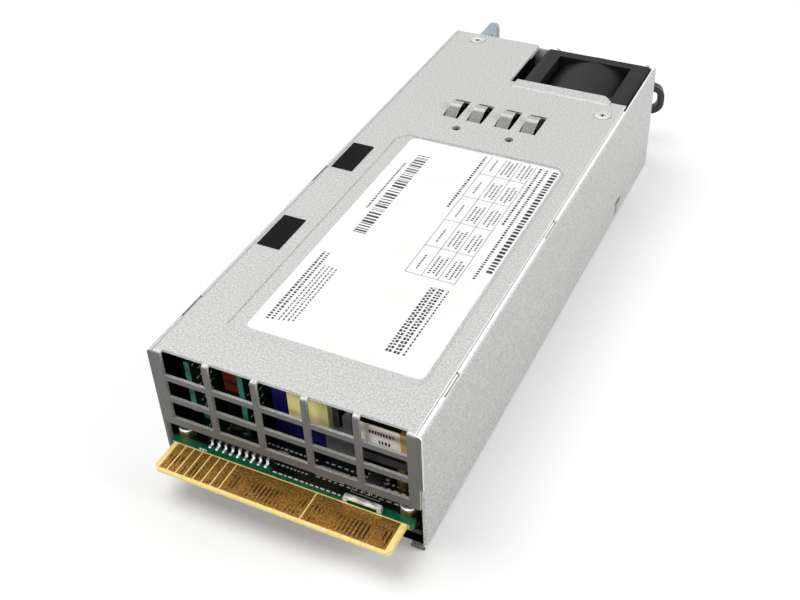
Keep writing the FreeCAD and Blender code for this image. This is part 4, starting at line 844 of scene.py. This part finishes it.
def make_card_marks():
    """White marking ink on the card and the two upright boards: outlines and dashes that spell nothing."""
    ink = 0.02 * MM
    spans = [(-25.8, -25.1, -93.9, -93.4), (-24.9, -24.2, -93.9, -93.4), (-24, -23.6, -93.9, -93.4)]
    spans += row_along_x(-92.95, 0.4, -4.6, 14.4, 1.1, 0.6, 21)
    spans += [(-27, -14, -88.2, -88), (-12.6, -4, -86.2, -86), (5.4, 13.4, -89.3, -89.1),
              (5.4, 13.4, -86.4, -86.2), (16, 24, -90.7, -90.5), (16, 16.2, -90.7, -87.4),
              (23.8, 24, -90.7, -87.4)]
    for row, along in enumerate((-90.4, -88.7, -86.9, -85.4)):
        spans += row_along_x(along, 0.5, -21 + 3 * row, 4, 1.1, 0.45, row * 23 + 9)
        spans += row_along_x(along + 0.4, 0.4, 6, 31, 1.6, 0.4, row * 17 + 4)
    print_flat(spans, CARD_TOP, ink)
    settle("card_marking", MATERIALS["white_ink"], "case")
    tall = 0.55
    marks = []
    for face, first in ((-29, -86.6), (-15.8, -83.6)):
        for row in range(7):
            level = 15.5 + 2.6 * row
            for low, high in dashes(first + row % 3, first + 7, 1.4, 0.4, row * 31 + 5):
                across = (face * MM, face * MM + ink)
                marks.append((across, (low * MM, high * MM), (level * MM, (level + tall) * MM)))
    bars(marks)
    settle("upright_board_marking", MATERIALS["white_ink"], "case")


def make_chips():
    """Small moulded parts on the card: bodies with tinned ends, and packages with bent feet."""
    body = slab((-0.55 * MM, 0.55 * MM), (-0.4 * MM, 0.4 * MM), (0, 0.45 * MM))
    round_edges(0.06 * MM)
    middles = ((-28.6, -87), (-27, -85.6), (-13, -88.9), (-11.2, -88.9), (-2.6, -88.3), (0.2, -88.3),
               (3.1, -87.6), (6.6, -87.7), (9, -87.7), (11.4, -87.7), (18, -89.4), (20, -89.4), (22, -89.4),
               (17.5, -86.8))
    places = [(x * MM, y * MM, CARD_TOP) for x, y in middles]
    join(copies(body, places))
    settle("small_resistors", MATERIALS["black_epoxy"], "case")
    cap = slab((0.55 * MM, 0.8 * MM), (-0.42 * MM, 0.42 * MM), (0, 0.47 * MM))
    round_edges(0.06 * MM)
    other_end = 1.35 * MM
    join(copies(cap, places + [(x - other_end, y, z) for x, y, z in places]))
    settle("resistor_ends", MATERIALS["tin"], "case")
    package_middles = ((-20, -83), (20.4, -84.5))
    package = slab((-2 * MM, 2 * MM), (-2.5 * MM, 2.5 * MM), (0.15 * MM, 1.5 * MM))
    narrow("VERT", lambda point: point.co.z > 1 * MM, (0.94, 0.95, 1))
    round_edges(0.12 * MM)
    join(copies(package, [(x * MM, y * MM, CARD_TOP) for x, y in package_middles]))
    settle("small_packages", MATERIALS["black_epoxy"], "case")
    foot = slab((2 * MM, 2.9 * MM), (-0.2 * MM, 0.2 * MM), (0, 0.3 * MM))
    bpy.ops.object.mode_set(mode="EDIT")
    choose("FACE", lambda face: face.normal.x < -0.9)
    bpy.ops.mesh.extrude_region_move(TRANSFORM_OT_translate={"value": (-0.35 * MM, 0, 0.45 * MM)})
    bpy.ops.object.mode_set(mode="OBJECT")
    places = [(x * MM, (y + step) * MM, CARD_TOP)
              for x, y in package_middles for step in (-1.9, -0.63, 0.63, 1.9)]
    feet = copies(foot, places * 2)
    for left_foot in feet[len(places):]:
        left_foot.rotation_euler.z = math.radians(180)
    join(feet)
    settle("package_feet", MATERIALS["tin"], "case")


def make_winding_tape():
    """Paper sticker and tan tape over the yellow tape of the auxiliary winding's front."""
    front = -87.5 * MM
    sticker_face = front - 0.12 * MM
    slab((18.8 * MM, 28.6 * MM), (sticker_face, front), (25 * MM, 32.3 * MM))
    round_edges(0.04 * MM)
    settle("winding_sticker", MATERIALS["paper_sticker"], "case")
    ink, tall = 0.02 * MM, 1.1
    lines = []
    for row, (start, end, level) in enumerate(((20.8, 27.6, 29.6), (23.2, 26.2, 26.9))):
        for low, high in dashes(start, end, 0.6, 0.6, row * 11 + 6):
            depth = (sticker_face - ink, sticker_face)
            lines.append(((low * MM, high * MM), depth, (level * MM, (level + tall) * MM)))
    bars(lines)
    settle("winding_sticker_print", MATERIALS["label_ink"], "case")
    slab((28.9 * MM, 30.8 * MM), (front - 0.2 * MM, front + 1.9 * MM), (24.7 * MM, 32.3 * MM))
    round_edges(0.08 * MM)
    settle("winding_tan_tape", MATERIALS["tan_tape"], "case")


def make_header_solder():
    """Fillets of solder round the foot of each header pin on the card's front edge."""
    pins, pin_step = 9, 2.05
    fillet = drum(0.5 * MM, 0.3 * MM, centre=(0, 0, 0.15 * MM), sides=16)
    narrow("FACE", lambda face: face.normal.z > 0.9, (0.5, 0.5, 1))
    press("SUBSURF", levels=1, render_levels=1)
    join(copies(fillet, [((-23.4 + pin_step * index) * MM, -92.35 * MM, CARD_TOP) for index in range(pins)]))
    settle("header_solder", MATERIALS["tin"], "case", smooth=60)


make_guard()
make_rotor()
make_flat_screws()
make_pan_screws()
make_handle()
make_tab()
make_shunt()
make_label_print()
make_card_marks()
make_chips()
make_winding_tape()
make_header_solder()

# ---------------------------------------------------------------- camera, floor and light


def make_camera():
    """A camera above and in front of the card end's right corner."""
    camera = bpy.data.objects.new("camera", bpy.data.cameras.new("camera"))
    bpy.context.scene.collection.objects.link(camera)
    camera.data.sensor_width = 36
    camera.data.lens = 50.231
    camera.data.shift_x = -0.0304
    camera.data.shift_y = -0.04
    camera.data.clip_start = 0.01
    camera.location = (0.113531, -0.243221, 0.218742)
    camera.rotation_euler = [math.radians(turn) for turn in (51.941, 1.529, 25.13)]
    bpy.context.scene.camera = camera


def seen_directly(owner):
    """1 for rays from the camera, a reflection or clear plastic, and 0 for light between surfaces."""
    path = add(owner, "LightPath")
    straight = {0: path.outputs["Is Camera Ray"], 1: path.outputs["Is Glossy Ray"]}
    reflected = add(owner, "Math", straight, operation="MAXIMUM").outputs[0]
    either = {0: reflected, 1: path.outputs["Is Transmission Ray"]}
    return add(owner, "Math", either, operation="MAXIMUM").outputs[0]


def make_floor():
    """A plain white floor that keeps the soft shadow under the supply."""
    bpy.ops.mesh.primitive_plane_add(size=6, location=(0, 0, -0.2 * MM))
    floor = bpy.context.object
    floor.name = "floor"
    paper = new_finish("white_paper_floor", Roughness=0.9)
    seen = seen_directly(paper)
    # seen it is white, and towards the object it sends back as little light as a mid grey
    colour = add(paper, "Mix", {FAC: seen, A: tone("#8C8C8C"), B: tone("#F7F7F7")},
                 data_type="RGBA").outputs[MIX]
    finish_with(paper, Base_Color=colour)
    # away from the shadow beside the supply the paper runs into the white of the studio
    shadow_middle = (0.1, -0.05, 0)
    place = add(paper, "TexCoord").outputs["Object"]
    away = add(paper, "VectorMath", {0: place, 1: shadow_middle}, operation="DISTANCE").outputs["Value"]
    near_and_far = {"Value": away, "From Min": 0.13, "From Max": 0.32}
    fade = add(paper, "MapRange", {**near_and_far, "To Min": 0.15, "To Max": 1}).outputs[0]
    strength = add(paper, "MapRange", {**near_and_far, "To Min": 1.4, "To Max": 1}).outputs[0]
    share = add(paper, "Math", {0: seen, 1: fade}, operation="MULTIPLY").outputs[0]
    glow = add(paper, "Emission", {"Color": (1, 1, 1, 1), "Strength": strength}).outputs[0]
    lit = paper.node_tree.nodes["Principled BSDF"].outputs[0]
    both = add(paper, "MixShader", {0: share, 1: lit, 2: glow}).outputs[0]
    paper.node_tree.links.new(both, paper.node_tree.nodes["Material Output"].inputs["Surface"])
    floor.data.materials.append(paper)


def make_world():
    """White all round where it is seen, and a dim even light on the object."""
    world = bpy.data.worlds.new("studio")
    world.use_nodes = True
    level = add(world, "MapRange", {"Value": seen_directly(world), "To Min": 0.2, "To Max": 1}).outputs[0]
    background = world.node_tree.nodes["Background"]
    background.inputs["Color"].default_value = (1, 1, 1, 1)
    world.node_tree.links.new(level, background.inputs["Strength"])
    bpy.context.scene.world = world


def soft_lamp(name, location, size, power):
    """A round lamp that faces the frame's origin, under the middle of the supply."""
    lamp = bpy.data.objects.new(name, bpy.data.lights.new(name, "AREA"))
    bpy.context.scene.collection.objects.link(lamp)
    lamp.data.shape = "DISK"
    lamp.data.size = size
    lamp.data.energy = power
    lamp.location = location
    lamp.rotation_euler = Vector(location).to_track_quat("Z", "Y").to_euler()


make_camera()
make_floor()
make_world()
soft_lamp("key", (-0.3, -0.08, 0.85), size=0.7, power=5.6)
soft_lamp("side_fill", (0.8, 0.15, 0.35), size=0.5, power=4.4)
soft_lamp("front_fill", (0.05, -0.9, 0.1), size=0.4, power=3.4)
bpy.context.scene.view_settings.view_transform = "Standard"
